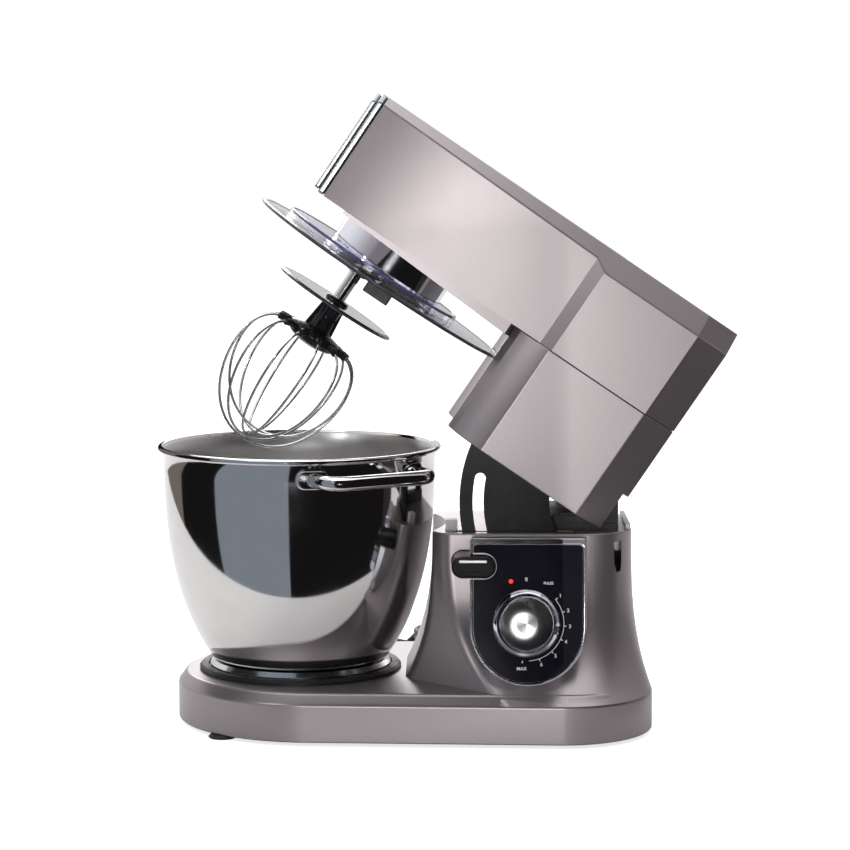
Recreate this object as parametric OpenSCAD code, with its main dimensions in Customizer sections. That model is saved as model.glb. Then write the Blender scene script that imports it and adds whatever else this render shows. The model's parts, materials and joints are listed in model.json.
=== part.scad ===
// Tilt-head stand mixer with a lift-out bowl and planetary tool drive.
// X points from the bowl to the column, -Y to the control side, Z up from the table.
// The origin is on the table, on the axis of the bowl. The head is drawn lowered and
// then turned about the hinge pin to its raised rest pose.

/* [Base] */
// Reach of the base in front of the bowl axis
base_front = 104; // [95:1:125]
// Reach of the base behind the bowl axis
base_rear = 297; // [285:1:360]
// Half width of the base under the bowl
base_half_front = 118; // [100:1:140]
// Half width of the base under the column
base_half_rear = 126; // [118:1:150]
// Height of the platform above the underside of the base
deck_h = 40; // [34:1:48]
// Height of the platform's sloping edge
deck_chamfer = 8; // [4:1:10]
// Height of the rubber feet
foot_h = 3; // [2:0.5:8]
// Wall of the lower housing
shell_wall = 5; // [4:0.5:6]
// Height of the column above the underside of the base
column_h = 165; // [150:1:200]
// Half width of the column at its top
column_half_top = 68; // [62:1:76]

/* [Hinge and head] */
// Angle between the lowered head and the raised head
tilt = 34; // [25:1:36]
// Distance from the bowl axis to the hinge pin
hinge_reach = 260; // [255:1:270]
// Height of the hinge pin above the top of the column
hinge_rise = 25; // [22:1:30]
// Radius of the hinge pin
hinge_pin_r = 4.5; // [3:0.5:5]
// Gap between the column and the lowered head
neck_gap = 2; // [1:0.5:5]
// Height of the neck, the lower part of the head
neck_h = 100.5; // [90:1:110]
// Height of the upper part of the head
head_h = 96; // [80:1:120]
// Half width of the head at its front end
head_half_front = 60; // [56:1:66]
// Half width of the head in front of the crease
head_half_mid = 70; // [68:1:76]
// Half width of the head behind the crease
head_half_rear = 74.5; // [72:1:80]
// Reach of the head in front of the bowl axis
head_front = 77; // [70:1:92]
// Reach of the head behind the hinge pin
head_rear = 11.5; // [10.5:0.5:18]
// Wall of the head shells
head_wall = 3; // [2:0.5:4]

/* [Bowl] */
// Outer radius of the bowl's rolled rim
bowl_rim_r = 120; // [110:1:121]
// Height of the rim above the table
bowl_rim_z = 235; // [200:1:236]
// Thickness of the bowl's sheet
bowl_wall = 1.2; // [0.8:0.1:2]
// Outer radius of the bowl's foot ring
bowl_foot_r = 77; // [70:1:82]
// Angle from the control side to the middle of the handle
handle_turn = 33; // [10:1:40]
// Radius of the handle's round bar
handle_bar_r = 6; // [4:0.5:7]
// How far the handle stands off the bowl
handle_stand_off = 34; // [28:1:40]

/* [Control panel] */
// Width of the panel
panel_w = 95; // [80:1:105]
// Height of the panel
panel_h = 120; // [105:1:121]
// Distance from the bowl axis to the panel's middle
panel_x = 191.5; // [185:0.5:200]
// Backward lean of the panel
panel_lean = 9; // [4:1:12]
// Width of the frame around the panel
frame_w = 2.6; // [1.5:0.1:4]
// Radius of the speed knob's flange
knob_r = 27.5; // [24:0.5:36]
// How far the speed knob stands out
knob_out = 20; // [12:1:28]

/* [Tool drive] */
// Tooth size of the drive gears
gear_module = 1.25; // [1:0.05:1.3]
// Teeth on the fixed ring gear
ring_teeth = 44; // [40:2:46]
// Teeth on the planet pinion
planet_teeth = 12; // [12:1:14]
// Teeth on the drive wheel
wheel_teeth = 60; // [48:2:62]
// Teeth on the layshaft pinion
lay_teeth = 12; // [12:1:16]
// Radius of the planetary housing
housing_r = 52.5; // [50:0.5:58]
// Radius of the splash guard
guard_r = 119; // [105:1:119.5]
// Radius of the clear collar
collar_r = 83; // [70:1:86]
// Radius of the small belt pulley
small_pulley_r = 8; // [7:0.5:10]
// Radius of the large belt pulley
large_pulley_r = 36; // [28:1:38]
// Running clearance of a shaft in its hole, on the radius
run = 0.05; // [0.03:0.01:0.08]

/* [Whisk] */
// Radius of the whisk at its widest
whisk_r = 52; // [40:1:56]
// Depth of the whisk's wires below its drip disc
whisk_depth = 139; // [115:1:140]
// Radius of the drip disc
disc_r = 54.5; // [40:0.5:56]
// Number of wire loops
loops = 6; // [3:1:6]
// Radius of the wire
wire_r = 1.2; // [0.8:0.1:1.2]

/* [Mains cord] */
// Radius of the cord
cord_r = 3.2; // [2.5:0.1:3.5]

/* [Hidden] */
$fn = 96;
blend_fn = 32;      // sides of the circles inside a hull
eps = 0.01;         // overlap that joins two solids of one piece
seat_gap = 0.2;     // clearance between pieces that seat in one another

paint = [0.60, 0.56, 0.55];
black = [0.08, 0.08, 0.09];
steel = [0.78, 0.78, 0.80];
clear = [0.85, 0.88, 0.98, 0.4];

// heights above the table
base_z = foot_h;
deck_z = base_z + deck_h;
column_z = base_z + column_h;
hinge_z = column_z + hinge_rise;
neck_z = column_z + neck_gap;
seam_z = neck_z + neck_h;
head_z = seam_z + head_h;
column_rear = base_rear - 17;   // the column's top stops short of the base
recess_r = max(bowl_rim_r + 4, guard_r + 5);    // hollow in the column and neck, clear of bowl and guard
column_front = recess_r - 11;   // the column's corners beside the bowl

// ------------------------------------------------------------------ shared shapes

module raised() {
    translate([hinge_reach, 0, hinge_z]) rotate([0, tilt, 0])
        translate([-hinge_reach, 0, -hinge_z]) children();
}

module tube(r, bore, h) {
    difference() {
        cylinder(r = r, h = h);
        translate([0, 0, -1]) cylinder(r = bore, h = h + 2);
    }
}

module rounded_plan(x0, x1, half, r) {
    translate([x0 + r, -half]) square([x1 - x0 - 2 * r, 2 * half]);
    translate([x0, -half + r]) square([x1 - x0, 2 * half - 2 * r]);
    for (x = [x0 + r, x1 - r], y = [-half + r, half - r]) translate([x, y]) circle(r);
}

// a bar with round ends, centred, its flats along X
module stadium(w, h) {
    square([w - h, h], center = true);
    for (x = [-1, 1]) translate([x * (w - h) / 2, 0]) circle(h / 2);
}

function bezier(a, b, c, d, n) = [for (i = [0:n]) let (t = i / n, u = 1 - t)
    u * u * u * a + 3 * u * u * t * b + 3 * u * t * t * c + t * t * t * d];

// involute of a base circle, at the radius r
function inv_angle(base, r) = let (t = sqrt(max(0, pow(r / base, 2) - 1)))
    t * 180 / PI - atan(t);

// outline of a spur gear: add and ded are the tooth's height above and below the pitch circle,
// thin is how much thinner each flank is than a perfect tooth
function gear_outline(teeth, add, ded, thin) =
    let (pitch = gear_module * teeth / 2, base = pitch * cos(gear_pressure),
         root = pitch - ded, tip = pitch + add, start = max(base, root),
         half = 90 / teeth - thin / pitch * 180 / PI + inv_angle(base, pitch),
         flank = [for (i = [0:3]) let (r = start + (tip - start) * i / 3)
             [r, half - inv_angle(base, r)]],
         side = concat([[root, flank[0][1] + 0.4]], flank))
    [for (k = [0:teeth - 1]) each concat(
        [for (p = side) p[0] * [cos(k * 360 / teeth - p[1]), sin(k * 360 / teeth - p[1])]],
        [for (i = [len(side) - 1:-1:0]) let (p = side[i])
            p[0] * [cos(k * 360 / teeth + p[1]), sin(k * 360 / teeth + p[1])]])];
gear_pressure = 25;
backlash = 0.12;    // thinning of each flank

module spur(teeth) {
    polygon(gear_outline(teeth, 0.9 * gear_module, 1.1 * gear_module, backlash));
}

// a round bar swept along a list of points, as one closed solid
module sweep(points, r, sides) {
    n = len(points);
    tangent = [for (i = [0:n - 1]) let (d = points[min(i + 1, n - 1)] - points[max(i - 1, 0)])
        d / norm(d)];
    rings = [for (i = [0:n - 1]) let (t = tangent[i],
        up = abs(t[2]) < 0.9 ? [0, 0, 1] : [0, 1, 0], u = cross(t, up) / norm(cross(t, up)),
        v = cross(u, t)) each [for (k = [0:sides - 1]) let (a = 360 * k / sides)
            points[i] + r * (u * cos(a) + v * sin(a))]];
    polyhedron(rings, concat([[for (k = [sides - 1:-1:0]) k]],
        [for (i = [0:n - 2], k = [0:sides - 1]) let (a = i * sides + k,
            b = i * sides + (k + 1) % sides) [a, b, b + sides, a + sides]],
        [[for (k = [0:sides - 1]) (n - 1) * sides + k]]));
}

// ------------------------------------------------------------------ base

rear_corner = base_half_rear * 0.62;
rear_mid_x = base_rear - rear_corner;
nose_x = base_half_front - base_front;

module base_plan(inset = 0) {
    translate([nose_x, 0]) circle(base_half_front - inset, $fn = 72);
    for (y = [-1, 1]) translate([rear_mid_x, y * (base_half_rear - rear_corner)])
        circle(rear_corner - inset, $fn = 48);
    polygon([for (y = [-1, 1]) each let (front = [nose_x, y * (base_half_front - inset)],
        side = [rear_mid_x, y * (base_half_rear - inset)],
        rear = [base_rear - inset, y * (base_half_rear - rear_corner)])
            y < 0 ? [front, side, rear] : [rear, side, front]]);
}

// the column spreads towards the base: spread is 0 at its top and 1 where it meets the base's side
column_corner = 17;
rear_corner_top = 40;
foot_z = deck_z - deck_chamfer;
column_levels = [0, 0.09, 0.2, 0.36, 0.6, 1];
function spread(level) = pow(1 - level, 3);
function column_half(z) = column_half_top
    + (base_half_rear - column_half_top) * spread((z - foot_z) / (column_z - foot_z));

module column_slice(level) {
    s = spread(level);
    half = column_half(foot_z + level * (column_z - foot_z));
    front = column_front - 27 * s + column_corner;
    rear_r = rear_corner_top + (rear_corner - rear_corner_top) * s;
    translate([0, 0, foot_z + level * (column_z - foot_z - eps)]) linear_extrude(eps) for (y = [-1, 1]) {
        translate([front, y * (column_half_top - column_corner - 12 * s)]) circle(column_corner, $fn = blend_fn);
        translate([column_front + column_corner + 48 * s, y * (half - column_corner)])
            circle(column_corner, $fn = blend_fn);
        translate([column_rear + (base_rear - column_rear) * s - rear_r, y * (half - rear_r)])
            circle(rear_r, $fn = blend_fn);
    }
}

module column() {
    for (i = [0:len(column_levels) - 2]) hull() {
        column_slice(column_levels[i]);
        column_slice(column_levels[i + 1]);
    }
}

// hollow that keeps the column clear of the bowl, wider towards the top
module bowl_recess() {
    rotate_extrude() polygon([[0, deck_z + 2], [90, deck_z + 2], [104, base_z + 70],
        [118, base_z + 112], [recess_r, base_z + 140], [recess_r, head_z], [0, head_z]]);
}

// places children on the panel's face: X across, Y up the panel, Z out of it
panel_low_z = base_z + 46;
panel_low_y = -column_half(panel_low_z) - 1;
module on_panel() {
    translate([panel_x, panel_low_y, panel_low_z]) rotate([90 - panel_lean, 0, 0]) children();
}

module shield(inset = 0) {
    r = panel_w / 2 - inset;
    translate([0, panel_w / 2]) circle(r);
    translate([-r, panel_w / 2]) square([2 * r, panel_h - panel_w / 2 - inset]);
}

frame_deep = 12;
board_deep = 40;    // depth of the boss that carries the panel
knob_y = 51;
knob_x = -1.5;
shaft_r = 3;
switch_deep = 34;   // depth of the speed switch behind the panel's face
lamp = [-14, 85];

plunger = [recess_r + 5, -46];
plunger_w = 10;
switch_top = base_z + column_h - 30;    // top of the safety switch and seat of the plunger's spring
slot_y = -56;       // middle plane of the sector plate
sector_t = 4;
slot_r = 109;       // radius of the sector plate's slot
latch_r = 4.2;
latch_angle = 24;   // how far below the horizontal the latch pin stands
latch = [hinge_reach - slot_r * cos(latch_angle), hinge_z - slot_r * sin(latch_angle)];
button = latch - [13.4, 3.7];
button_w = 36;
button_h = 18;
gland = [rear_mid_x, base_half_rear - 14, base_z + 16];

module base_shell() color(paint) difference() {
    union() {
        translate([0, 0, base_z]) linear_extrude(deck_h - deck_chamfer) base_plan();
        hull() {
            translate([0, 0, deck_z - deck_chamfer - 1]) linear_extrude(1) base_plan();
            translate([0, 0, deck_z - eps]) linear_extrude(eps) base_plan(deck_chamfer - 1);
        }
        difference() {
            column();
            bowl_recess();
        }
        on_panel() translate([0, 0, -board_deep]) linear_extrude(board_deep - 1) shield(frame_w);
        // low lip behind the head
        translate([column_rear - 5.5, -40, column_z - 1]) cube([4, 80, 5]);
    }
    // space for the base's inner parts, open below
    difference() {
        translate([0, 0, base_z - 1]) linear_extrude(deck_h - deck_chamfer + 1) base_plan(shell_wall);
        for (s = screw_spots) translate([s[0], s[1], base_z + cover_t]) cylinder(r = boss_post_r, h = deck_h);
    }
    for (s = screw_spots) translate([s[0], s[1], base_z]) cylinder(r = screw_r, h = 12);
    translate([0, 0, deck_z - shell_wall - 1]) linear_extrude(column_h - deck_h)
        rounded_plan(recess_r + 6, column_rear - 8, column_half_top - 6, 14);
    // slots for the sector plate, the bracket and the pins
    translate([recess_r + 6, slot_y - sector_t / 2 - 1.5, column_z - 40])
        cube([hinge_reach - 36 - recess_r, sector_t + 3, 60]);
    translate([plunger[0] - plunger_w / 2 - 0.3, plunger[1] - plunger_w / 2 - 0.3, switch_top])
        cube([plunger_w + 0.6, plunger_w + 0.6, 60]);
    // groove for the panel's frame
    on_panel() translate([0, 0, 3 - frame_deep - seat_gap]) linear_extrude(60) difference() {
        shield(-seat_gap);
        shield(frame_w);
    }
    // room for the speed switch and the pilot lamp, and the release button's passage
    on_panel() translate([knob_x - 16, knob_y - 16, -switch_deep - 2]) cube([32, 32, 60]);
    on_panel() translate([knob_x, knob_y, -board_deep - 30]) cylinder(r = 4, h = board_deep);
    on_panel() translate([lamp[0], lamp[1], -switch_deep]) cylinder(r = 3.5, h = 60);
    translate([button[0], -column_half_top + 10, button[1]]) rotate([90, 0, 0])
        linear_extrude(60) stadium(button_w + 0.6, button_h + 0.6);
    // hole for the cord gland
    translate(gland) rotate([-90, 0, 0]) cylinder(r = 6.2, h = 60, center = true);
}

cover_t = 2.5;
screw_r = 1.9;
boss_post_r = 5;
screw_spots = [for (x = [-base_front + 38, 60, rear_mid_x], y = [-1, 1])
    [x, y * (base_half_front - 52)]];
foot_spots = concat([[0, 0]], [for (x = [-60, 215], y = [-1, 1]) [x, y * 84]]);

module bottom_cover() color(black) translate([0, 0, base_z]) difference() {
    linear_extrude(cover_t) base_plan(shell_wall + seat_gap);
    for (s = screw_spots) translate([s[0], s[1], -1]) cylinder(r = screw_r + 0.3, h = cover_t + 2);
}

module cover_screws() color(steel) for (s = screw_spots) translate([s[0], s[1], base_z]) {
    translate([0, 0, -1.5]) cylinder(r = 2 * screw_r, h = 1.5);
    translate([0, 0, -eps]) cylinder(r = screw_r, h = 11);
}

module rubber_feet() color(black) for (s = foot_spots) translate([s[0], s[1], 0])
    rotate_extrude() polygon([[0, 0], [11, 0], [12, 1], [10, foot_h], [0, foot_h]]);

// bayonet seat: a raised boss with lugs that hook over the lugs in the bowl's foot
seat_r = bowl_foot_r + 9;
boss_r = bowl_foot_r - 17;
lug = 5.5;
lug_sweep = 34;

module lugs(r_in, r_out, z, h, turn) {
    for (a = [0, 120, 240]) translate([0, 0, z]) rotate([0, 0, a + turn - lug_sweep / 2])
        rotate_extrude(angle = lug_sweep) translate([r_in, 0]) square([r_out - r_in, h]);
}

module seat_ring() color(black) {
    difference() {
        translate([0, 0, deck_z]) rotate_extrude()
            polygon([[0, 0], [seat_r, 0], [seat_r, 2.5], [seat_r - 2, 4.5], [bowl_foot_r + 1.5, 4.5],
                [bowl_foot_r + 1, 2], [boss_r, 2], [boss_r, 7.5], [0, 7.5]]);
        for (a = [0:30:330]) rotate([0, 0, a]) translate([seat_r - 4, 0, deck_z + 4])
            cube([3, 1.2, 2], center = true);
    }
    lugs(boss_r - 1, boss_r + lug, deck_z + 5, 2.5, 0);
}

module control_panel() color(black) on_panel() difference() {
    translate([0, 0, -0.8]) linear_extrude(3) shield(frame_w + seat_gap);
    translate([knob_x, knob_y, -2]) cylinder(r = shaft_r + 0.5, h = 8);
    translate([lamp[0], lamp[1], -2]) cylinder(r = 2.2, h = 8);
    panel_button_cut();
}

// the release button stands across the panel's left edge
module panel_button_cut() {
    translate([button[0] - panel_x, (button[1] - panel_low_z) / cos(panel_lean), 0])
        linear_extrude(60, center = true) stadium(button_w + 2, button_h + 4);
}

module panel_frame() color(steel) on_panel() difference() {
    translate([0, 0, 3 - frame_deep]) linear_extrude(frame_deep) shield();
    translate([0, 0, -frame_deep - 3]) linear_extrude(frame_deep + 12) shield(frame_w);
    panel_button_cut();
}

module pilot_lens() color("red") on_panel() translate([lamp[0], lamp[1], -3]) cylinder(r = 2, h = 5.8);

module control_board() color("darkgreen")
    translate([recess_r + 20, -10, deck_z + 2]) cube([100, 1.6, 90]);

module speed_switch() color(black) on_panel() translate([knob_x, knob_y, -switch_deep]) difference() {
    translate([-14, -14, 0]) cube([28, 28, 16]);
    translate([0, 0, 4]) cylinder(r = shaft_r + run, h = 20);
}

module hinge_bracket() color(black) difference() {
    union() {
        translate([212, -46, column_z]) cube([hinge_reach - 204, 92, 5]);
        translate([212, -46, column_z]) cube([26, 92, 12]);
        for (s = [-1, 1]) translate([hinge_reach, s * 39, 0]) {
            translate([0, 5, hinge_z]) rotate([90, 0, 0]) cylinder(r = 8, h = 10);
            translate([-8, -5, column_z]) cube([16, 10, hinge_rise]);
            translate([-40, -5, column_z]) cube([40, 10, 14]);
        }
    }
    translate([hinge_reach, 0, hinge_z]) rotate([90, 0, 0]) cylinder(r = hinge_pin_r, h = 120, center = true);
}

module hinge_pin() color(steel) translate([hinge_reach, 0, hinge_z]) rotate([90, 0, 0])
    cylinder(r = hinge_pin_r, h = 92, center = true);

module safety_switch() color(black) translate([plunger[0] + 2, plunger[1] - 6, switch_top - 12])
    cube([14, 12, 12]);

module cord_gland() color(black) translate(gland) rotate([-90, 0, 0]) difference() {
    union() {
        translate([0, 0, -4]) cylinder(r = 6, h = 18);
        translate([0, 0, 14]) rotate_extrude() polygon([[0, 0], [8, 0], [8, 2.5], [5.6, 4],
            [4.4, 32], [0, 32]]);
    }
    translate([0, 0, -5]) cylinder(r = cord_r, h = 60);
}

// cord: out of the gland at the far side and round to the coil behind the column
cord_exit = gland + [0, 32 + 14 - 2, 0];
coil_at = [132, 272, 0];
coil_r = 36;
coil_half = 8;
coil_h = 26;
cord_route = [cord_exit, [218.6, 164, 18.6], [217, 174, 17], [213.5, 185, 14], [208, 196, 10.5],
    [201.5, 207, 7], [194.5, 218, 4.6], [187.5, 228, 3.5], [181.5, 238, 3.3], [176.5, 248, 3.3],
    [173.2, 258, 3.3]];

module power_cord() color(black) sweep(cord_route, cord_r, 8);

module cord_coil() color(black) translate(coil_at) rotate_extrude()
    translate([coil_r - coil_half, 0]) square([2 * coil_half, coil_h]);

plug_at = [coil_at[0] - coil_r - coil_half - 24, coil_at[1], 9];
module plug_body() color(black) translate(plug_at) rotate([0, 90, 0]) rotate_extrude()
    polygon([[0, -22], [9, -22], [9, 2], [7, 8], [4, 24], [0, 24]]);

module plug_pins() color(steel) for (y = [-1, 1]) translate(plug_at + [-41, y * 5, 0])
    rotate([0, 90, 0]) cylinder(r = 2, h = 19);

// ------------------------------------------------------------------ controls

cap_r = knob_r - 5.5;
module speed_knob() color(steel) on_panel() translate([knob_x, knob_y, 2.8]) difference() {
    union() {
        rotate_extrude() polygon([[0, 0], [knob_r, 0], [knob_r, 3], [knob_r - 3, 5.5], [knob_r - 4, 6],
            [knob_r - 4.5, knob_out - 1], [knob_r - 5, knob_out], [0, knob_out]]);
        translate([0, 0, -switch_deep + 2]) cylinder(r = shaft_r, h = switch_deep);
    }
    translate([0, 0, knob_out - 1.5]) cylinder(r = cap_r, h = 3);
}

module knob_cap() color([0.9, 0.9, 0.92]) on_panel() translate([knob_x, knob_y, 2.8 + knob_out - 1.5])
    difference() {
        cylinder(r = cap_r - seat_gap / 2, h = 1.8);
        rotate([0, 0, 90]) translate([cap_r - 4, 0, 1.2]) cylinder(r = 1, h = 2);
    }

button_y = panel_low_y + (button[1] - panel_low_z) * tan(panel_lean) - 12;
latch_travel = 5;

module release_button() color(black) translate([button[0], 0, button[1]]) rotate([90, 0, 0]) difference() {
    union() {
        translate([0, 0, -button_y - 6]) linear_extrude(4) stadium(button_w - 3, button_h - 3);
        translate([0, 0, column_half_top - 4]) linear_extrude(-button_y - column_half_top - 2)
            stadium(button_w, button_h);
    }
    translate([0, 0, -button_y - 3]) linear_extrude(4) stadium(button_w - 12, button_h - 11);
    translate([latch[0] - button[0], latch[1] - button[1], 0]) cylinder(r = latch_r - 1.2, h = 76);
}

module latch_pin() color(steel) translate([latch[0], 0, latch[1]]) rotate([90, 0, 0]) {
    translate([0, 0, 30]) cylinder(r = latch_r, h = column_half_top - 38);
    translate([0, 0, 60]) cylinder(r = latch_r - 1.2, h = 15);
}

module release_spring() color(steel) translate([latch[0], -34, latch[1]]) rotate([90, 0, 0])
    tube(latch_r + 1.4, latch_r + 0.4, 14);

module interlock_plunger() color([0.85, 0.85, 0.86]) translate([plunger[0], plunger[1], switch_top + 6])
    difference() {
        translate([-plunger_w / 2, -plunger_w / 2, 0]) cube([plunger_w, plunger_w, column_z + 9 - switch_top - 6]);
        translate([0, 0, -1]) cylinder(r = plunger_w / 2 - 1.7, h = 13);
    }

module interlock_spring() color(steel) translate([plunger[0], plunger[1], switch_top])
    tube(plunger_w / 2 - 2, plunger_w / 2 - 3, 11);

// ------------------------------------------------------------------ bowl

bowl_base_z = deck_z + 9;
bowl_side = bowl_rim_r - 5;
bowl_outer = bezier([bowl_foot_r - 3, bowl_base_z], [bowl_side - 21, deck_z + 37],
    [bowl_side, deck_z + 85], [bowl_side, bowl_rim_z - 20], 18);

module bowl_shell() color(steel) {
    difference() {
        rotate_extrude() polygon(concat([[0, bowl_base_z]], bowl_outer,
            [[bowl_side, bowl_rim_z - 3], [bowl_side + 2, bowl_rim_z - 1.5], [0, bowl_rim_z - 1.5]]));
        rotate_extrude() polygon(concat([[0, bowl_base_z + bowl_wall]],
            [for (p = bowl_outer) p + [-bowl_wall, bowl_wall * (1 - (p[1] - bowl_base_z) / (bowl_rim_z - bowl_base_z))]],
            [[bowl_side - bowl_wall, bowl_rim_z + 3], [0, bowl_rim_z + 3]]));
    }
    translate([0, 0, bowl_rim_z - 2.5]) rotate_extrude() translate([bowl_rim_r - 2.5, 0]) circle(2.5, $fn = 24);
    translate([0, 0, bowl_rim_z - 3.2]) rotate_extrude()
        translate([bowl_side - bowl_wall, 0]) square([bowl_rim_r - bowl_side - 1, 1.6]);
}

module bowl_foot() color(steel) {
    translate([0, 0, deck_z + 2.3]) rotate_extrude() polygon([[bowl_foot_r - 5, 0], [bowl_foot_r - 1, 0],
        [bowl_foot_r, 2], [bowl_foot_r, 3], [bowl_foot_r - 2.5, bowl_base_z - deck_z - 2.3 + eps],
        [bowl_foot_r - 5, bowl_base_z - deck_z - 2.3 + eps]]);
    lugs(boss_r + 1.5, bowl_foot_r - 4, deck_z + 2.5, 2, 0);
}

handle_half = 48;
handle_z = bowl_rim_z - 17;
handle_in = sqrt(pow(bowl_side, 2) - pow(handle_half - handle_bar_r, 2)) + 1;
handle_out = bowl_side + handle_stand_off - handle_bar_r - 4;
handle_bend = 16;

function corner(x, y, from, n) = [for (i = [0:n]) let (a = from + 90 * i / n)
    [x + handle_bend * cos(a), y + handle_bend * sin(a), 0]];
handle_path = concat([[handle_in, -handle_half, 0]],
    corner(handle_out - handle_bend, -handle_half + handle_bend, -90, 8),
    corner(handle_out - handle_bend, handle_half - handle_bend, 0, 8),
    [[handle_in, handle_half, 0]]);
pad_out = bowl_side + 2.5;
pad_angle = asin(handle_half / bowl_side);

module bowl_handle() color(steel) rotate([0, 0, -90 + handle_turn]) translate([0, 0, handle_z]) {
    sweep(handle_path, handle_bar_r, 16);
    for (s = [-1, 1]) rotate([0, 0, s * pad_angle]) difference() {
        translate([handle_in - 4, 0, 0]) rotate([0, 90, 0]) linear_extrude(pad_out - handle_in + 4) rotate(90)
            stadium(28, 16);
        translate([0, 0, -20]) cylinder(r = bowl_side, h = 40);
    }
}

// ------------------------------------------------------------------ head shells

crease_x = 137;
step_x = 148;
facet_x = 240.5;
head_end = hinge_reach + head_rear;
// stations along the head: place, half width, drop of the sloping edge, its inset
head_stations = [[-head_front, head_half_front, 7, 7], [-40, head_half_front + 5.5, 8, 9],
    [20, head_half_mid - 1.5, 9, 10], [crease_x, head_half_mid, 12, 11],
    [step_x, head_half_rear, 19, 15], [facet_x, head_half_rear, 19, 15], [head_end, 50, 19, 14]];

module head_section(s) {
    translate([s[0], 0, 0]) rotate([90, 0, 90]) linear_extrude(eps) polygon([[-s[1], seam_z],
        [-s[1], head_z - s[2]], [-s[1] + s[3], head_z], [s[1] - s[3], head_z],
        [s[1], head_z - s[2]], [s[1], seam_z]]);
}

module head_shell() color(paint) difference() {
    for (i = [0:len(head_stations) - 2]) hull() {
        head_section(head_stations[i]);
        head_section(head_stations[i + 1]);
    }
    translate([0, 0, seam_z - 1]) linear_extrude(head_h - 17) polygon([[-head_front + 4, -head_half_front + 6],
        [20, -head_half_mid + 6], [facet_x - 6, -head_half_mid + 6], [head_end - 6, -44],
        [head_end - 6, 44], [facet_x - 6, head_half_mid - 6], [20, head_half_mid - 6],
        [-head_front + 4, head_half_front - 6]]);
    translate([0, 0, head_z - 19]) linear_extrude(16) polygon([[-head_front + 4, -head_half_front + 16],
        [20, -head_half_mid + 18], [facet_x - 6, -head_half_mid + 18], [head_end - 6, -34],
        [head_end - 6, 34], [facet_x - 6, head_half_mid - 18], [20, head_half_mid - 18],
        [-head_front + 4, head_half_front - 16]]);
}

neck_front = column_front;
function neck_outline(inset) = concat([[neck_front + inset, -50 + inset], [neck_front + 6 + inset, -60 + inset],
    [neck_front + 17 + inset / 2, -68 + inset], [146, -head_half_rear + inset], [facet_x - inset / 2, -head_half_rear + inset],
    [head_end - inset, -50 + inset / 2]], [[head_end - inset, 50 - inset / 2], [facet_x - inset / 2, head_half_rear - inset],
    [146, head_half_rear - inset], [neck_front + 17 + inset / 2, 68 - inset], [neck_front + 6 + inset, 60 - inset],
    [neck_front + inset, 50 - inset]]);

module neck_shell() color(paint) difference() {
    translate([0, 0, neck_z]) linear_extrude(neck_h - 0.3) polygon(neck_outline(0));
    cylinder(r = recess_r, h = head_z);
    difference() {
        translate([0, 0, neck_z - 1]) linear_extrude(neck_h + 2) polygon(neck_outline(head_wall));
        cylinder(r = recess_r + head_wall, h = head_z);
    }
    // the hinge stands in a wide notch at the rear
    translate([facet_x, -54, neck_z - 1]) cube([60, 108, hinge_z - neck_z + 11]);
}

cover_end = hinge_reach - 54;
module neck_cover() color(black) difference() {
    translate([0, 0, neck_z + 0.5]) linear_extrude(3) intersection() {
        difference() {
            polygon(neck_outline(head_wall + seat_gap));
            circle(recess_r + head_wall + seat_gap);
        }
        translate([0, -100]) square([cover_end, 200]);
    }
    translate([plunger[0] + 1, plunger[1], neck_z]) cube([15, 14, 20], center = true);
    sector_slot();
}

sector_out = slot_r + 15.5;
sector_in = 50;
module sector_slot() {
    translate([hinge_reach - sector_out - 1, slot_y - sector_t / 2 - seat_gap, neck_z - 5])
        cube([sector_out, sector_t + 2 * seat_gap, 12]);
}

// an arc-shaped piece about the hinge pin, from one angle to another, seen lowered;
// angles are measured up from the horizontal in front of the pin
module arc_plate(r_in, r_out, from, to) {
    translate([hinge_reach, slot_y + sector_t / 2, hinge_z]) rotate([90, 0, 0])
        rotate([0, 0, 180 - to]) rotate_extrude(angle = to - from)
            translate([r_in, 0]) square([r_out - r_in, sector_t]);
}

slot_half = 4.5;
module sector_plate() color(black) difference() {
    union() {
        arc_plate(sector_in, sector_out, -latch_angle - tilt - 5, -6);
        translate([hinge_reach - sector_out + 4, slot_y - sector_t / 2, neck_z + 3.5])
            cube([sector_out - 40, sector_t, 40]);
        // stop at the end of the outer arm
        arc_plate(sector_out - 1, sector_out + 5, -tilt - 13, -tilt - 11);
    }
    translate([hinge_reach, slot_y + sector_t, hinge_z]) rotate([90, 0, 0])
        rotate([0, 0, 180 + latch_angle - 0.4]) rotate_extrude(angle = tilt + 0.8)
            translate([slot_r - slot_half, 0]) square([2 * slot_half, 2 * sector_t]);
    for (a = [latch_angle - 0.4, latch_angle + tilt + 0.4])
        translate([hinge_reach - slot_r * cos(a), slot_y, hinge_z - slot_r * sin(a)])
            rotate([90, 0, 0]) cylinder(r = slot_half, h = 3 * sector_t, center = true);
}

belly_half = 61;
module head_belly() color(paint) difference() {
    translate([0, belly_half, 0]) rotate([90, 0, 0]) linear_extrude(2 * belly_half)
        polygon([[-56, seam_z - 0.3], [-56, seam_z - 3], [neck_front + 4, seam_z - 11], [neck_front + 4, seam_z - 0.3]]);
    translate([-53, -belly_half + 3, seam_z - 8]) cube([neck_front + 40, 2 * belly_half - 6, 20]);
    translate([0, 0, seam_z - 40]) cylinder(r = housing_r + seat_gap, h = 60);
    difference() {
        translate([neck_front - 4, -80, seam_z - 20]) cube([30, 160, 40]);
        cylinder(r = recess_r - seat_gap, h = head_z);
    }
}

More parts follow.
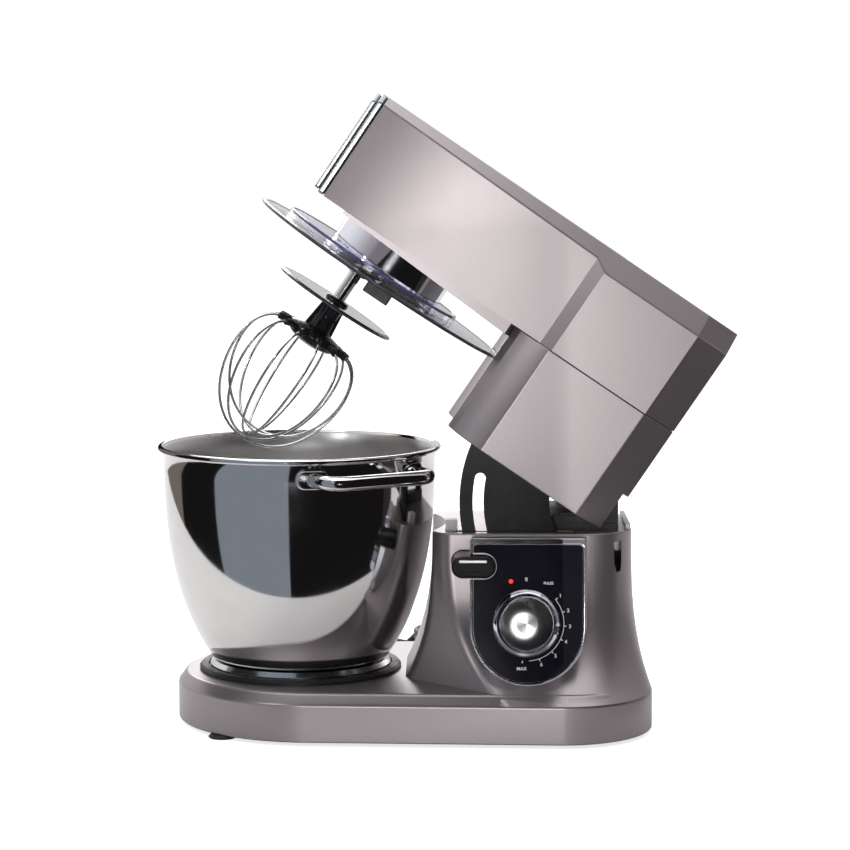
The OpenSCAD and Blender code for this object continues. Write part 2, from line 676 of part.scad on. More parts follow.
module front_cap() color(steel) {
    h = head_h;
    for (band = [[head_front + 1, 5.5, 0], [head_front + 6, 4.5, 2.2]])
        translate([-band[0], 0, 0]) rotate([90, 0, -90]) linear_extrude(band[1]) polygon([
            [-head_half_front + band[2], seam_z + band[2]], [-head_half_front + band[2], head_z - 7 - band[2]],
            [-head_half_front + 7 + band[2], head_z - band[2]], [head_half_front - 7 - band[2], head_z - band[2]],
            [head_half_front - band[2], head_z - 7 - band[2]], [head_half_front - band[2], seam_z + band[2]]]);
}

module front_gasket() color(black) translate([-head_front, 0, 0]) rotate([90, 0, -90]) linear_extrude(1) polygon([
    [-head_half_front + 1.2, seam_z + 1.2], [-head_half_front + 1.2, head_z - 8],
    [-head_half_front + 8, head_z - 1.2], [head_half_front - 8, head_z - 1.2],
    [head_half_front - 1.2, head_z - 8], [head_half_front - 1.2, seam_z + 1.2]]);

arm_half = 26;      // middle of each hinge arm, beside the bracket's ears
bush_r = hinge_pin_r + 1.8;
module hinge_arms() color(steel) difference() {
    union() {
        for (s = [-1, 1]) {
            translate([hinge_reach, s * arm_half + 6, hinge_z]) rotate([90, 0, 0]) cylinder(r = 8.3, h = 12);
            translate([hinge_reach - 8.3, s * arm_half - 6, hinge_z]) cube([16, 12, seam_z - hinge_z - 4]);
        }
        translate([motor_x + motor_half, -46, seam_z - 8]) cube([hinge_reach + 7.5 - motor_x - motor_half, 92, 5]);
    }
    translate([hinge_reach, 0, hinge_z]) rotate([90, 0, 0]) cylinder(r = bush_r, h = 120, center = true);
}

module hinge_bushes() color("goldenrod") for (s = [-1, 1])
    translate([hinge_reach, s * arm_half + 6, hinge_z]) rotate([90, 0, 0]) tube(bush_r, hinge_pin_r + run, 12);

// ------------------------------------------------------------------ drive, all on or beside the bowl axis

housing_z = seam_z - 25;        // underside of the planetary housing
planet_reach = gear_module * (ring_teeth - planet_teeth) / 2;
lay_reach = gear_module * (wheel_teeth + lay_teeth) / 2;
motor_x = 190;
carrier_shaft_r = 6;
spindle_r = 6;
lay_shaft_r = 5;
motor_shaft_r = 4;
ring_z = seam_z - 13;
ring_h = 9;
frame_low_z = seam_z + 4;
frame_high_z = seam_z + 46;
plate_t = 6;
bearing_r = 11;
wheel_z = seam_z + 22;
wheel_h = 10;
pulley_z = seam_z + 57;
pulley_h = 12;

module planet_housing() color(steel) difference() {
    union() {
        translate([0, 0, housing_z]) cylinder(r = housing_r, h = seam_z - housing_z + 3);
        translate([0, 0, seam_z + 0.2]) cylinder(r = housing_r + 0.1, h = 3.8);
    }
    translate([0, 0, housing_z - 1]) cylinder(r = housing_r - 3.5, h = seam_z - housing_z - 1);
    translate([0, 0, housing_z]) cylinder(r = bearing_r, h = 60);
}

module ring_gear() color(steel) translate([0, 0, ring_z]) difference() {
    cylinder(r = housing_r - 3.5, h = ring_h);
    translate([0, 0, -1]) linear_extrude(ring_h + 2)
        polygon(gear_outline(ring_teeth, 1.1 * gear_module, 0.8 * gear_module, -backlash));
}

module guard_collar() color(clear) translate([0, 0, housing_z - 6]) difference() {
    translate([-12, 0, 0]) cylinder(r = collar_r, h = 6);
    difference() {
        translate([-12, 0, -1]) cylinder(r = collar_r - 3, h = 5);
        cylinder(r = housing_r + 4, h = 20, center = true);
    }
    translate([0, 0, -1]) cylinder(r = housing_r - 5, h = 20);
}

guard_edge_z = bowl_rim_z + 1.5;
module splash_guard() color(clear) rotate_extrude() polygon([[housing_r - 5, housing_z - 6],
    [housing_r + 4, housing_z - 6], [guard_r - 12, guard_edge_z + 2.4], [guard_r, guard_edge_z + 2],
    [guard_r, guard_edge_z], [guard_r - 12, guard_edge_z + 0.4], [housing_r + 4, housing_z - 8.2],
    [housing_r - 5, housing_z - 8.2]]);

module gear_frame() color("silver") difference() {
    union() {
        translate([0, 0, frame_low_z]) linear_extrude(plate_t) rounded_plan(-48, lay_reach + 22, 44, 8);
        translate([0, 0, frame_high_z]) linear_extrude(plate_t)
            rounded_plan(-48, motor_x + motor_half, 44, 8);
        for (x = [-40, lay_reach + 14], y = [-36, 36]) translate([x, y, frame_low_z])
            cylinder(r = 5, h = frame_high_z - frame_low_z + eps);
    }
    for (x = [0, lay_reach, motor_x]) translate([x, 0, frame_low_z - 1]) cylinder(r = bearing_r, h = 80);
}

module bearing(bore, h) {
    tube(bearing_r, bore + run, h);
}

module shaft_bearings() color([0.5, 0.5, 0.55]) {
    for (z = [frame_low_z, frame_high_z]) {
        translate([0, 0, z]) bearing(carrier_shaft_r, plate_t);
        translate([lay_reach, 0, z]) bearing(lay_shaft_r, plate_t);
    }
    for (z = [motor_low_z, motor_high_z]) translate([motor_x, 0, z]) bearing(motor_shaft_r, plate_t);
}

motor_low_z = seam_z - 62;
motor_high_z = seam_z + 40;
stator_h = 46;
stator_z = seam_z - 34;
motor_half = 38;

module motor_frame() color("silver") difference() {
    union() {
        for (z = [motor_low_z, motor_high_z]) translate([motor_x - motor_half, -motor_half, z])
            cube([2 * motor_half, 2 * motor_half, plate_t]);
        for (x = [-1, 1], y = [-1, 1]) translate([motor_x + x * (motor_half - 4), y * (motor_half - 4), motor_low_z])
            cylinder(r = 3.5, h = motor_high_z - motor_low_z + 1);
    }
    translate([motor_x, 0, 0]) cylinder(r = bearing_r, h = 600);
}

module motor_stator() color([0.35, 0.35, 0.38]) translate([motor_x, 0, stator_z]) difference() {
    union() {
        intersection() {
            cylinder(r = motor_half - 2, h = stator_h);
            translate([-29, -50, -1]) cube([58, 100, stator_h + 2]);
        }
        for (s = [-1, 1]) translate([-17, s * 27 - 6, -9]) cube([34, 12, stator_h + 18]);
    }
    translate([0, 0, -20]) cylinder(r = 21, h = stator_h + 40);
}

module carbon_brushes() color([0.2, 0.2, 0.2]) for (s = [-1, 1])
    translate([motor_x + s * 20, 0, motor_high_z - 14]) cube([16, 7, 9], center = true);

belt_sink = 2;      // how deep the belt's seat is cut into each pulley
function arc_points(x, r, from, to, n) = [for (i = [0:n]) let (a = from + (to - from) * i / n)
    [x + r * cos(a), r * sin(a)]];
function belt_outline(out) = let (big = large_pulley_r - belt_sink + out,
    small = small_pulley_r - belt_sink + out, lean = acos((big - small) / (motor_x - lay_reach)))
    concat(arc_points(motor_x, small, -lean, lean, 12), arc_points(lay_reach, big, lean, 360 - lean, 28));

module drive_belt() color(black) translate([0, 0, pulley_z + 3]) linear_extrude(pulley_h - 6) difference() {
    polygon(belt_outline(1.7));
    polygon(belt_outline(0.2));
}

module pulley(r, bore) {
    rotate_extrude() polygon([[bore, 0], [r + 1, 0], [r + 1, 2], [r - belt_sink, 2.6],
        [r - belt_sink, pulley_h - 2.6], [r + 1, pulley_h - 2], [r + 1, pulley_h], [bore, pulley_h]]);
}

module motor_armature() color([0.6, 0.35, 0.2]) translate([motor_x, 0, 0]) {
    translate([0, 0, motor_low_z - 14]) cylinder(r = motor_shaft_r, h = pulley_z + pulley_h - motor_low_z + 14);
    translate([0, 0, stator_z]) cylinder(r = 20, h = stator_h);
    translate([0, 0, motor_high_z - 20]) cylinder(r = 11.5, h = 14);
}

module motor_pulley() color(steel) translate([motor_x, 0, pulley_z]) pulley(small_pulley_r, motor_shaft_r);

module cooling_fan() color(black) translate([motor_x, 0, motor_low_z - 12]) {
    tube(8, motor_shaft_r, 9);
    difference() {
        cylinder(r = 30, h = 1.5);
        translate([0, 0, -1]) cylinder(r = 7.5, h = 4);
    }
    for (a = [0:40:320]) rotate([0, 0, a]) translate([7.5, -0.8, 0]) cube([22, 1.6, 9]);
}

module lay_shaft() color(steel) translate([lay_reach, 0, 0]) {
    translate([0, 0, frame_low_z]) cylinder(r = lay_shaft_r, h = pulley_z + pulley_h - frame_low_z);
    translate([0, 0, wheel_z - 1]) linear_extrude(wheel_h + 2) rotate([0, 0, 180 + 180 / lay_teeth]) spur(lay_teeth);
}

module lay_pulley() color(steel) translate([lay_reach, 0, pulley_z]) pulley(large_pulley_r, lay_shaft_r);

module drive_wheel() color([0.85, 0.85, 0.8]) translate([0, 0, wheel_z]) linear_extrude(wheel_h) difference() {
    spur(wheel_teeth);
    circle(carrier_shaft_r);
    for (a = [30:60:330]) rotate(a) translate([20, 0]) circle(6);
}

module carrier_shaft() color(steel) translate([0, 0, carrier_z + 4])
    cylinder(r = carrier_shaft_r, h = frame_high_z + plate_t + 3 - carrier_z - 4);

carrier_z = housing_z - 12;
carrier_r = housing_r - 6;
module planet_carrier() color(black) difference() {
    union() {
        translate([0, 0, carrier_z]) rotate_extrude() polygon([[0, 0], [30, 0], [39, 4], [41, 8.5], [41, 14],
            [0, 14]]);
        // grey counterweight block on the axis
        translate([-7, -11.5, carrier_z - 12]) cube([23, 23, 13]);
    }
    translate([0, 0, carrier_z + 4]) cylinder(r = carrier_shaft_r, h = 40);
    translate([-planet_reach, 0, carrier_z - 1]) cylinder(r = spindle_r + run, h = 40);
}

disc_z = carrier_z - 35;
pinion_bore = 4;
pinion_z = ring_z - 2;
module tool_spindle() color(steel) translate([-planet_reach, 0, 0]) {
    translate([0, 0, disc_z - 20]) cylinder(r = spindle_r, h = pinion_z - disc_z + 20);
    translate([0, 0, pinion_z - 1]) cylinder(r = pinion_bore, h = ring_h + 4);
    translate([0, 0, carrier_z - 5]) cylinder(r = spindle_r + 3, h = 4.8);
}

module planet_pinion() color(steel) translate([-planet_reach, 0, pinion_z]) linear_extrude(ring_h + 2)
    difference() {
        rotate(180) spur(planet_teeth);
        circle(pinion_bore);
    }

// ------------------------------------------------------------------ whisk

hub_r = 11;
hub_h = 40;
module whisk_disc() color(clear) translate([-planet_reach, 0, disc_z]) rotate_extrude()
    polygon([[hub_r, 0], [disc_r - 4, 0], [disc_r, -1], [disc_r, 0.6], [disc_r - 4, 1.6], [hub_r, 1.6]]);

module whisk_hub() color(black) translate([-planet_reach, 0, disc_z]) difference() {
    rotate_extrude() polygon([[0, 4], [10, 4], [hub_r, 2], [hub_r, -1], [9.5, -3], [10, -24], [23, -29], [24, -36],
        [18, -hub_h], [8, -hub_h - 2], [0, -hub_h - 2]]);
    translate([0, 0, -22]) cylinder(r = spindle_r, h = 40);
    translate([0, 0, -24]) cylinder(r = spindle_r, h = 10);
}

// one loop of wire: out of the hub, round the tip and back into the hub
function loop_half(drop) = bezier([20, 0, -34], [20 + (whisk_r - 12) * 1.32, 0, -22],
    [(whisk_r + 11), 0, -whisk_depth + drop], [0, 0, -whisk_depth + drop], 14);
function mirrored(points) = [for (i = [len(points) - 2:-1:0]) [-points[i][0], 0, points[i][2]]];

module whisk_wires() color(steel) translate([-planet_reach, 0, disc_z]) for (k = [0:loops - 1])
    let (half = loop_half(k * (2 * wire_r + 0.2)))
        rotate([0, 0, k * 180 / loops + 12]) sweep(concat(half, mirrored(half)), wire_r, 6);

// ------------------------------------------------------------------ nodes

base_shell();
bottom_cover();
cover_screws();
rubber_feet();
seat_ring();
control_panel();
panel_frame();
pilot_lens();
control_board();
speed_switch();
hinge_bracket();
hinge_pin();
safety_switch();
cord_gland();
power_cord();
cord_coil();
plug_body();
plug_pins();
speed_knob();
knob_cap();
release_button();
latch_pin();
release_spring();
interlock_plunger();
interlock_spring();
bowl_shell();
bowl_foot();
bowl_handle();
raised() head_shell();
raised() neck_shell();
raised() neck_cover();
raised() head_belly();
raised() front_cap();
raised() front_gasket();
raised() sector_plate();
raised() hinge_arms();
raised() hinge_bushes();
raised() planet_housing();
raised() ring_gear();
raised() guard_collar();
raised() splash_guard();
raised() gear_frame();
raised() shaft_bearings();
raised() motor_frame();
raised() motor_stator();
raised() carbon_brushes();
raised() drive_belt();
raised() motor_armature();
raised() motor_pulley();
raised() cooling_fan();
raised() lay_shaft();
raised() lay_pulley();
raised() planet_carrier();
raised() carrier_shaft();
raised() drive_wheel();
raised() tool_spindle();
raised() planet_pinion();
raised() whisk_disc();
raised() whisk_hub();
raised() whisk_wires();
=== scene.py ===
"""Looks of a tilt-head stand mixer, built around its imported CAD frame.

Lengths are in millimetres in the row frame until MM turns them into metres. The head's pieces
are drawn with the head lowered, and RAISE puts them where the frame has them at rest.
"""
import json
import math

import bmesh
import bpy
from mathutils import Matrix, Vector


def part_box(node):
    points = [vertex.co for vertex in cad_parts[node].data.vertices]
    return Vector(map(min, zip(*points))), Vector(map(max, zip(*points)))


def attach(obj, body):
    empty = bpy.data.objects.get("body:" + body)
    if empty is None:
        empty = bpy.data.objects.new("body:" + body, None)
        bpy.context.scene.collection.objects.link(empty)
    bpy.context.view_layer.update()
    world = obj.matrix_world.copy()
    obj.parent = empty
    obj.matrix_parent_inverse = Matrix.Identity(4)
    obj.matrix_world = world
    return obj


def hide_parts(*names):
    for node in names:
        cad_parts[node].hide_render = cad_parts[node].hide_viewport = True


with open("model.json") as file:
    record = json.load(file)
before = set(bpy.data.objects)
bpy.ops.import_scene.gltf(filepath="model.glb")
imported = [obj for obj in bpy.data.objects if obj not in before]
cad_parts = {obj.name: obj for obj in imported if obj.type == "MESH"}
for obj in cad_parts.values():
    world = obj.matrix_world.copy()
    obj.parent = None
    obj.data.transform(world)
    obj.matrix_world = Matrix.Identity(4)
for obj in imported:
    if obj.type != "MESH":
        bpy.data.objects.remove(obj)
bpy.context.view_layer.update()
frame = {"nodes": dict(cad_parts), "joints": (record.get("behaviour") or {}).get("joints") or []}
nodes = frame["nodes"]

MM = 0.001
IDENTITY = Matrix.Identity(4)
joints = {j["name"]: j for j in frame["joints"]}
HINGE = Vector(joints["head_tilt"]["pos_m"])
TILT = math.radians(joints["head_tilt"]["range_deg"][1])
RAISE = Matrix.Translation(HINGE) @ Matrix.Rotation(TILT, 4, "Y") @ Matrix.Translation(-HINGE)


def box_mm(node):
    """Lowest and highest corner of a CAD node at rest, in millimetres."""
    low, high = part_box(node)
    return low / MM, high / MM


# ------------------------------------------------------------------ sizes

BASE_Z, FOOT_Z, DECK_Z, COLUMN_Z = 3, 35, 43, 168
NECK_Z, SEAM_Z, HEAD_Z = 170, 270.5, 366.5
HALF_FRONT, HALF_REAR, HALF_TOP = 118, 126, 68
COLUMN_FRONT, COLUMN_REAR, RECESS_R = 113, 280, 124
NOSE_X, REAR_CORNER, REAR_CORNER_R = 14, (218.88, 47.88), 78.12     # centres and radius of the base outline
COLUMN_EDGE_R, COLUMN_REAR_R, FLARE_REAR_R = 17, 40, 38.12
RIM_Z = box_mm("bowl_shell")[1].z
RIM_R = box_mm("bowl_shell")[1].x
PANEL_X, PANEL_LOW_Z, PANEL_LEAN, PANEL_W, PANEL_H = 191.5, 49, math.radians(9), 95, 120
KNOB, LAMP = (-1.5, 51), (-14, 85)
BUTTON, BUTTON_W, BUTTON_H = (147, 145), 36, 18
HOUSING_R = 52.5
SPINDLE_X, DISC_Z = -20, 198.5
GUARD_R, COLLAR_R, DISC_R = 119, 83, 54.5


# ------------------------------------------------------------------ camera

def add_camera():
    data = bpy.data.cameras.new("camera")
    data.lens = 110.5
    data.clip_end = 30
    obj = bpy.data.objects.new("camera", data)
    bpy.context.scene.collection.objects.link(obj)
    obj.location = (0.1276, -2.2, 0.488)
    obj.rotation_euler = (math.radians(90 - 6.155), 0, math.radians(0.55))
    bpy.context.scene.camera = obj


add_camera()


# ------------------------------------------------------------------ mesh tools

def new_object(name, data, place=IDENTITY):
    obj = bpy.data.objects.new(name, data)
    bpy.context.scene.collection.objects.link(obj)
    obj.matrix_world = place
    return obj


def add_mesh(name, points, faces, place=IDENTITY):
    """A mesh of points in millimetres, its faces turned outwards."""
    mesh = bpy.data.meshes.new(name)
    mesh.from_pydata([Vector(p) * MM for p in points], [], faces)
    work = bmesh.new()
    work.from_mesh(mesh)
    bmesh.ops.recalc_face_normals(work, faces=work.faces)
    work.to_mesh(mesh)
    work.free()
    return new_object(name, mesh, place)


def smooth(obj, angle=35):
    """Smooth shading, broken at edges sharper than the angle."""
    obj.data.polygons.foreach_set("use_smooth", [True] * len(obj.data.polygons))
    obj.data.set_sharp_from_angle(angle=math.radians(angle))
    return obj


def soften(obj, width, angle=35, segments=3):
    """Rounds the edges that are sharper than the angle."""
    smooth(obj, 180)
    bevel = obj.modifiers.new("edges", "BEVEL")
    bevel.width = width * MM
    bevel.segments = segments
    bevel.limit_method = "ANGLE"
    bevel.angle_limit = math.radians(angle)
    bevel.harden_normals = False
    normals = obj.modifiers.new("normals", "WEIGHTED_NORMAL")
    normals.keep_sharp = True
    normals.weight = 80
    return obj


def bake(obj):
    """Turns an object with modifiers, or a curve, into a plain mesh."""
    bpy.context.view_layer.update()
    depsgraph = bpy.context.evaluated_depsgraph_get()
    mesh = bpy.data.meshes.new_from_object(obj.evaluated_get(depsgraph))
    place = obj.matrix_world.copy()
    name = obj.name
    bpy.data.objects.remove(obj)
    return new_object(name, mesh, place)


def combine(obj, other, operation):
    modifier = obj.modifiers.new("combine", "BOOLEAN")
    modifier.object = other
    modifier.operation = operation
    modifier.solver = "EXACT"
    result = bake(obj)
    bpy.data.objects.remove(other)
    return result


def revolve(name, profile, place=IDENTITY, steps=128):
    """Turns a closed outline of (radius, height) points about local Z; a point on the axis is a pole."""
    points, rows = [], []
    for r, z in profile:
        if r < 1e-6:
            rows.append([len(points)] * steps)
            points.append((0, 0, z))
        else:
            rows.append(range(len(points), len(points) + steps))
            points += [(r * math.cos(a), r * math.sin(a), z)
                       for a in (2 * math.pi * k / steps for k in range(steps))]
    faces = []
    for low, high in zip(rows, rows[1:] + rows[:1]):
        for k in range(steps):
            n = (k + 1) % steps
            quad = list(dict.fromkeys((low[k], low[n], high[n], high[k])))
            if len(quad) > 2:
                faces.append(quad)
    return add_mesh(name, points, faces, place)


def loft(name, sections, place=IDENTITY, caps=True):
    """Joins closed sections of equal point counts."""
    count = len(sections[0])
    faces = [(i * count + k, i * count + (k + 1) % count, (i + 1) * count + (k + 1) % count,
              (i + 1) * count + k)
             for i in range(len(sections) - 1) for k in range(count)]
    if caps:
        faces += [tuple(range(count))[::-1], tuple(range((len(sections) - 1) * count, len(sections) * count))]
    return add_mesh(name, [p for s in sections for p in s], faces, place)


def rounded(outline, radius, steps=5):
    """The closed outline with its corners rounded; radius is one number, or one for each corner."""
    count = len(outline)
    result = []
    for i, corner in enumerate(outline):
        corner = Vector(corner)
        before, after = Vector(outline[i - 1]) - corner, Vector(outline[(i + 1) % count]) - corner
        wanted = radius[i] if isinstance(radius, (list, tuple)) else radius
        half = before.angle(after) / 2
        reach = min(wanted / math.tan(half), 0.48 * before.length, 0.48 * after.length) if wanted else 0
        if reach < 1e-3:
            result.append(tuple(corner))
            continue
        a, b = corner + before.normalized() * reach, corner + after.normalized() * reach
        for k in range(steps + 1):
            t = k / steps
            result.append(tuple((1 - t) ** 2 * a + 2 * t * (1 - t) * corner + t * t * b))
    return result


def plate(name, outlines, low, high, place=IDENTITY, edge=0.4):
    """Extrudes a flat shape along local Z; outlines after the first are holes in it."""
    curve = bpy.data.curves.new(name, "CURVE")
    curve.dimensions = "2D"
    curve.fill_mode = "BOTH"
    curve.extrude = (high - low) / 2 * MM
    for outline in outlines:
        spline = curve.splines.new("POLY")
        spline.points.add(len(outline) - 1)
        for point, (x, y) in zip(spline.points, outline):
            point.co = (x * MM, y * MM, 0, 1)
        spline.use_cyclic_u = True
    obj = bake(new_object(name, curve, place @ Matrix.Translation((0, 0, (low + high) / 2 * MM))))
    work = bmesh.new()
    work.from_mesh(obj.data)
    bmesh.ops.remove_doubles(work, verts=work.verts, dist=1e-6)
    bmesh.ops.dissolve_limit(work, angle_limit=0.01, verts=work.verts, edges=work.edges)
    bmesh.ops.recalc_face_normals(work, faces=work.faces)
    work.to_mesh(obj.data)
    work.free()
    return soften(obj, edge) if edge else obj


def rod(name, points, radius, place=IDENTITY, cyclic=False, sides=6):
    """A round bar along a smooth path, as a curve with closed ends."""
    curve = bpy.data.curves.new(name, "CURVE")
    curve.dimensions = "3D"
    curve.bevel_depth = radius * MM
    curve.bevel_resolution = sides
    curve.use_fill_caps = True
    spline = curve.splines.new("POLY")
    spline.points.add(len(points) - 1)
    for point, p in zip(spline.points, points):
        point.co = (*(Vector(p) * MM), 1)
    spline.use_cyclic_u = cyclic
    spline.use_smooth = True
    return new_object(name, curve, place)


def joined(name, parts):
    """Several meshes or curves as one object in the row frame."""
    work = bmesh.new()
    for part in parts:
        part = bake(part)
        mesh = part.data.copy()
        mesh.transform(part.matrix_world)
        work.from_mesh(mesh)
        bpy.data.objects.remove(part)
    mesh = bpy.data.meshes.new(name)
    work.to_mesh(mesh)
    work.free()
    return new_object(name, mesh)


def stadium(width, height, steps=16, x=0, y=0):
    r, reach = height / 2, (width - height) / 2
    return [(x + s * (reach + r * math.cos(a)), y + s * r * math.sin(a))
            for s in (1, -1) for a in (math.pi * (k / steps - 0.5) for k in range(steps + 1))]


def hull_outline(circles, count=160):
    """Outline of the tightest band round some (x, y, radius) circles, one point for each direction."""
    result = []
    for k in range(count):
        a = 2 * math.pi * k / count
        dx, dy = math.cos(a), math.sin(a)
        x, y, r = max(circles, key=lambda c: c[0] * dx + c[1] * dy + c[2])
        result.append((x + r * dx, y + r * dy))
    return result


def bezier(a, b, c, d, count):
    a, b, c, d = (Vector(p) for p in (a, b, c, d))
    return [tuple((1 - t) ** 3 * a + 3 * (1 - t) ** 2 * t * b + 3 * (1 - t) * t * t * c + t ** 3 * d)
            for t in (i / count for i in range(count + 1))]


def spline_through(points, per_span):
    """A smooth curve through the points."""
    points = [Vector(p) for p in points]
    padded = [2 * points[0] - points[1]] + points + [2 * points[-1] - points[-2]]
    result = []
    for i in range(1, len(padded) - 2):
        p0, p1, p2, p3 = padded[i - 1:i + 3]
        for k in range(per_span):
            t = k / per_span
            result.append(0.5 * (2 * p1 + (p2 - p0) * t + (2 * p0 - 5 * p1 + 4 * p2 - p3) * t * t
                                 + (3 * p1 - p0 - 3 * p2 + p3) * t ** 3))
    return result + [points[-1]]


# ------------------------------------------------------------------ materials

def shader(name, colour, **sockets):
    """A material whose shader has these fixed socket values."""
    material = bpy.data.materials.new(name)
    material.use_nodes = True
    bsdf = material.node_tree.nodes["Principled BSDF"]
    bsdf.inputs["Base Color"].default_value = (*colour, 1)
    for socket, value in sockets.items():
        bsdf.inputs[socket.replace("_", " ")].default_value = value
    return material, material.node_tree.nodes, material.node_tree.links, bsdf


def add_noise(nodes_, links, scale, detail=3.0, stretch=(1, 1, 1)):
    """Noise over the piece's own coordinates, in metres."""
    coords = nodes_.new("ShaderNodeTexCoord")
    mapping = nodes_.new("ShaderNodeMapping")
    mapping.inputs["Scale"].default_value = stretch
    noise = nodes_.new("ShaderNodeTexNoise")
    noise.inputs["Scale"].default_value = scale
    noise.inputs["Detail"].default_value = detail
    links.new(coords.outputs["Object"], mapping.inputs["Vector"])
    links.new(mapping.outputs["Vector"], noise.inputs["Vector"])
    return noise


def vary(nodes_, links, noise, low, high, socket):
    """Drives a shader socket between two values by a noise."""
    spread = nodes_.new("ShaderNodeMapRange")
    spread.inputs["From Min"].default_value = 0.3
    spread.inputs["From Max"].default_value = 0.7
    spread.inputs["To Min"].default_value = low
    spread.inputs["To Max"].default_value = high
    links.new(noise.outputs["Fac"], spread.inputs["Value"])
    links.new(spread.outputs["Result"], socket)


def tint(nodes_, links, noise, dark, light, socket):
    """Drives a colour socket between two colours by a noise."""
    ramp = nodes_.new("ShaderNodeValToRGB")
    ramp.color_ramp.elements[0].position = 0.3
    ramp.color_ramp.elements[1].position = 0.7
    ramp.color_ramp.elements[0].color = (*dark, 1)
    ramp.color_ramp.elements[1].color = (*light, 1)
    links.new(noise.outputs["Fac"], ramp.inputs["Fac"])
    links.new(ramp.outputs["Color"], socket)


def relief(nodes_, links, noise, strength, depth, bsdf):
    bump = nodes_.new("ShaderNodeBump")
    bump.inputs["Strength"].default_value = strength
    bump.inputs["Distance"].default_value = depth * MM
    links.new(noise.outputs["Fac"], bump.inputs["Height"])
    links.new(bump.outputs["Normal"], bsdf.inputs["Normal"])


def finish_of(name, colour, roughness, spread=0.15, grain=400, wear=40, bump=0.08, depth=0.02,
              rough_spread=0.06, stretch=(1, 1, 1), **sockets):
    """The common recipe: colour that varies at the grain's scale, gloss that varies broadly, and relief."""
    material, nodes_, links, bsdf = shader(name, colour, **sockets)
    fine = add_noise(nodes_, links, grain, stretch=stretch)
    broad = add_noise(nodes_, links, wear)
    dark = [c * (1 - spread) for c in colour]
    light = [min(1, c * (1 + spread)) for c in colour]
    tint(nodes_, links, fine, dark, light, bsdf.inputs["Base Color"])
    vary(nodes_, links, broad, max(0.02, roughness - rough_spread), roughness + rough_spread,
         bsdf.inputs["Roughness"])
    relief(nodes_, links, fine, bump, depth, bsdf)
    return material


def spun_metal(name, colour, roughness):
    """Metal turned on a lathe: rings about local Z, and a highlight that fans out from the middle."""
    material, nodes_, links, bsdf = shader(name, colour, Metallic=1.0, Anisotropic=0.85)
    coords = nodes_.new("ShaderNodeTexCoord")
    rings = nodes_.new("ShaderNodeTexWave")
    rings.wave_type = "RINGS"
    rings.rings_direction = "Z"
    rings.inputs["Scale"].default_value = 700
    rings.inputs["Distortion"].default_value = 0.6
    links.new(coords.outputs["Object"], rings.inputs["Vector"])
    vary(nodes_, links, rings, roughness - 0.04, roughness + 0.05, bsdf.inputs["Roughness"])
    relief(nodes_, links, rings, 0.15, 0.01, bsdf)
    tangent = nodes_.new("ShaderNodeTangent")
    tangent.direction_type = "RADIAL"
    tangent.axis = "Z"
    links.new(tangent.outputs["Tangent"], bsdf.inputs["Tangent"])
    return material


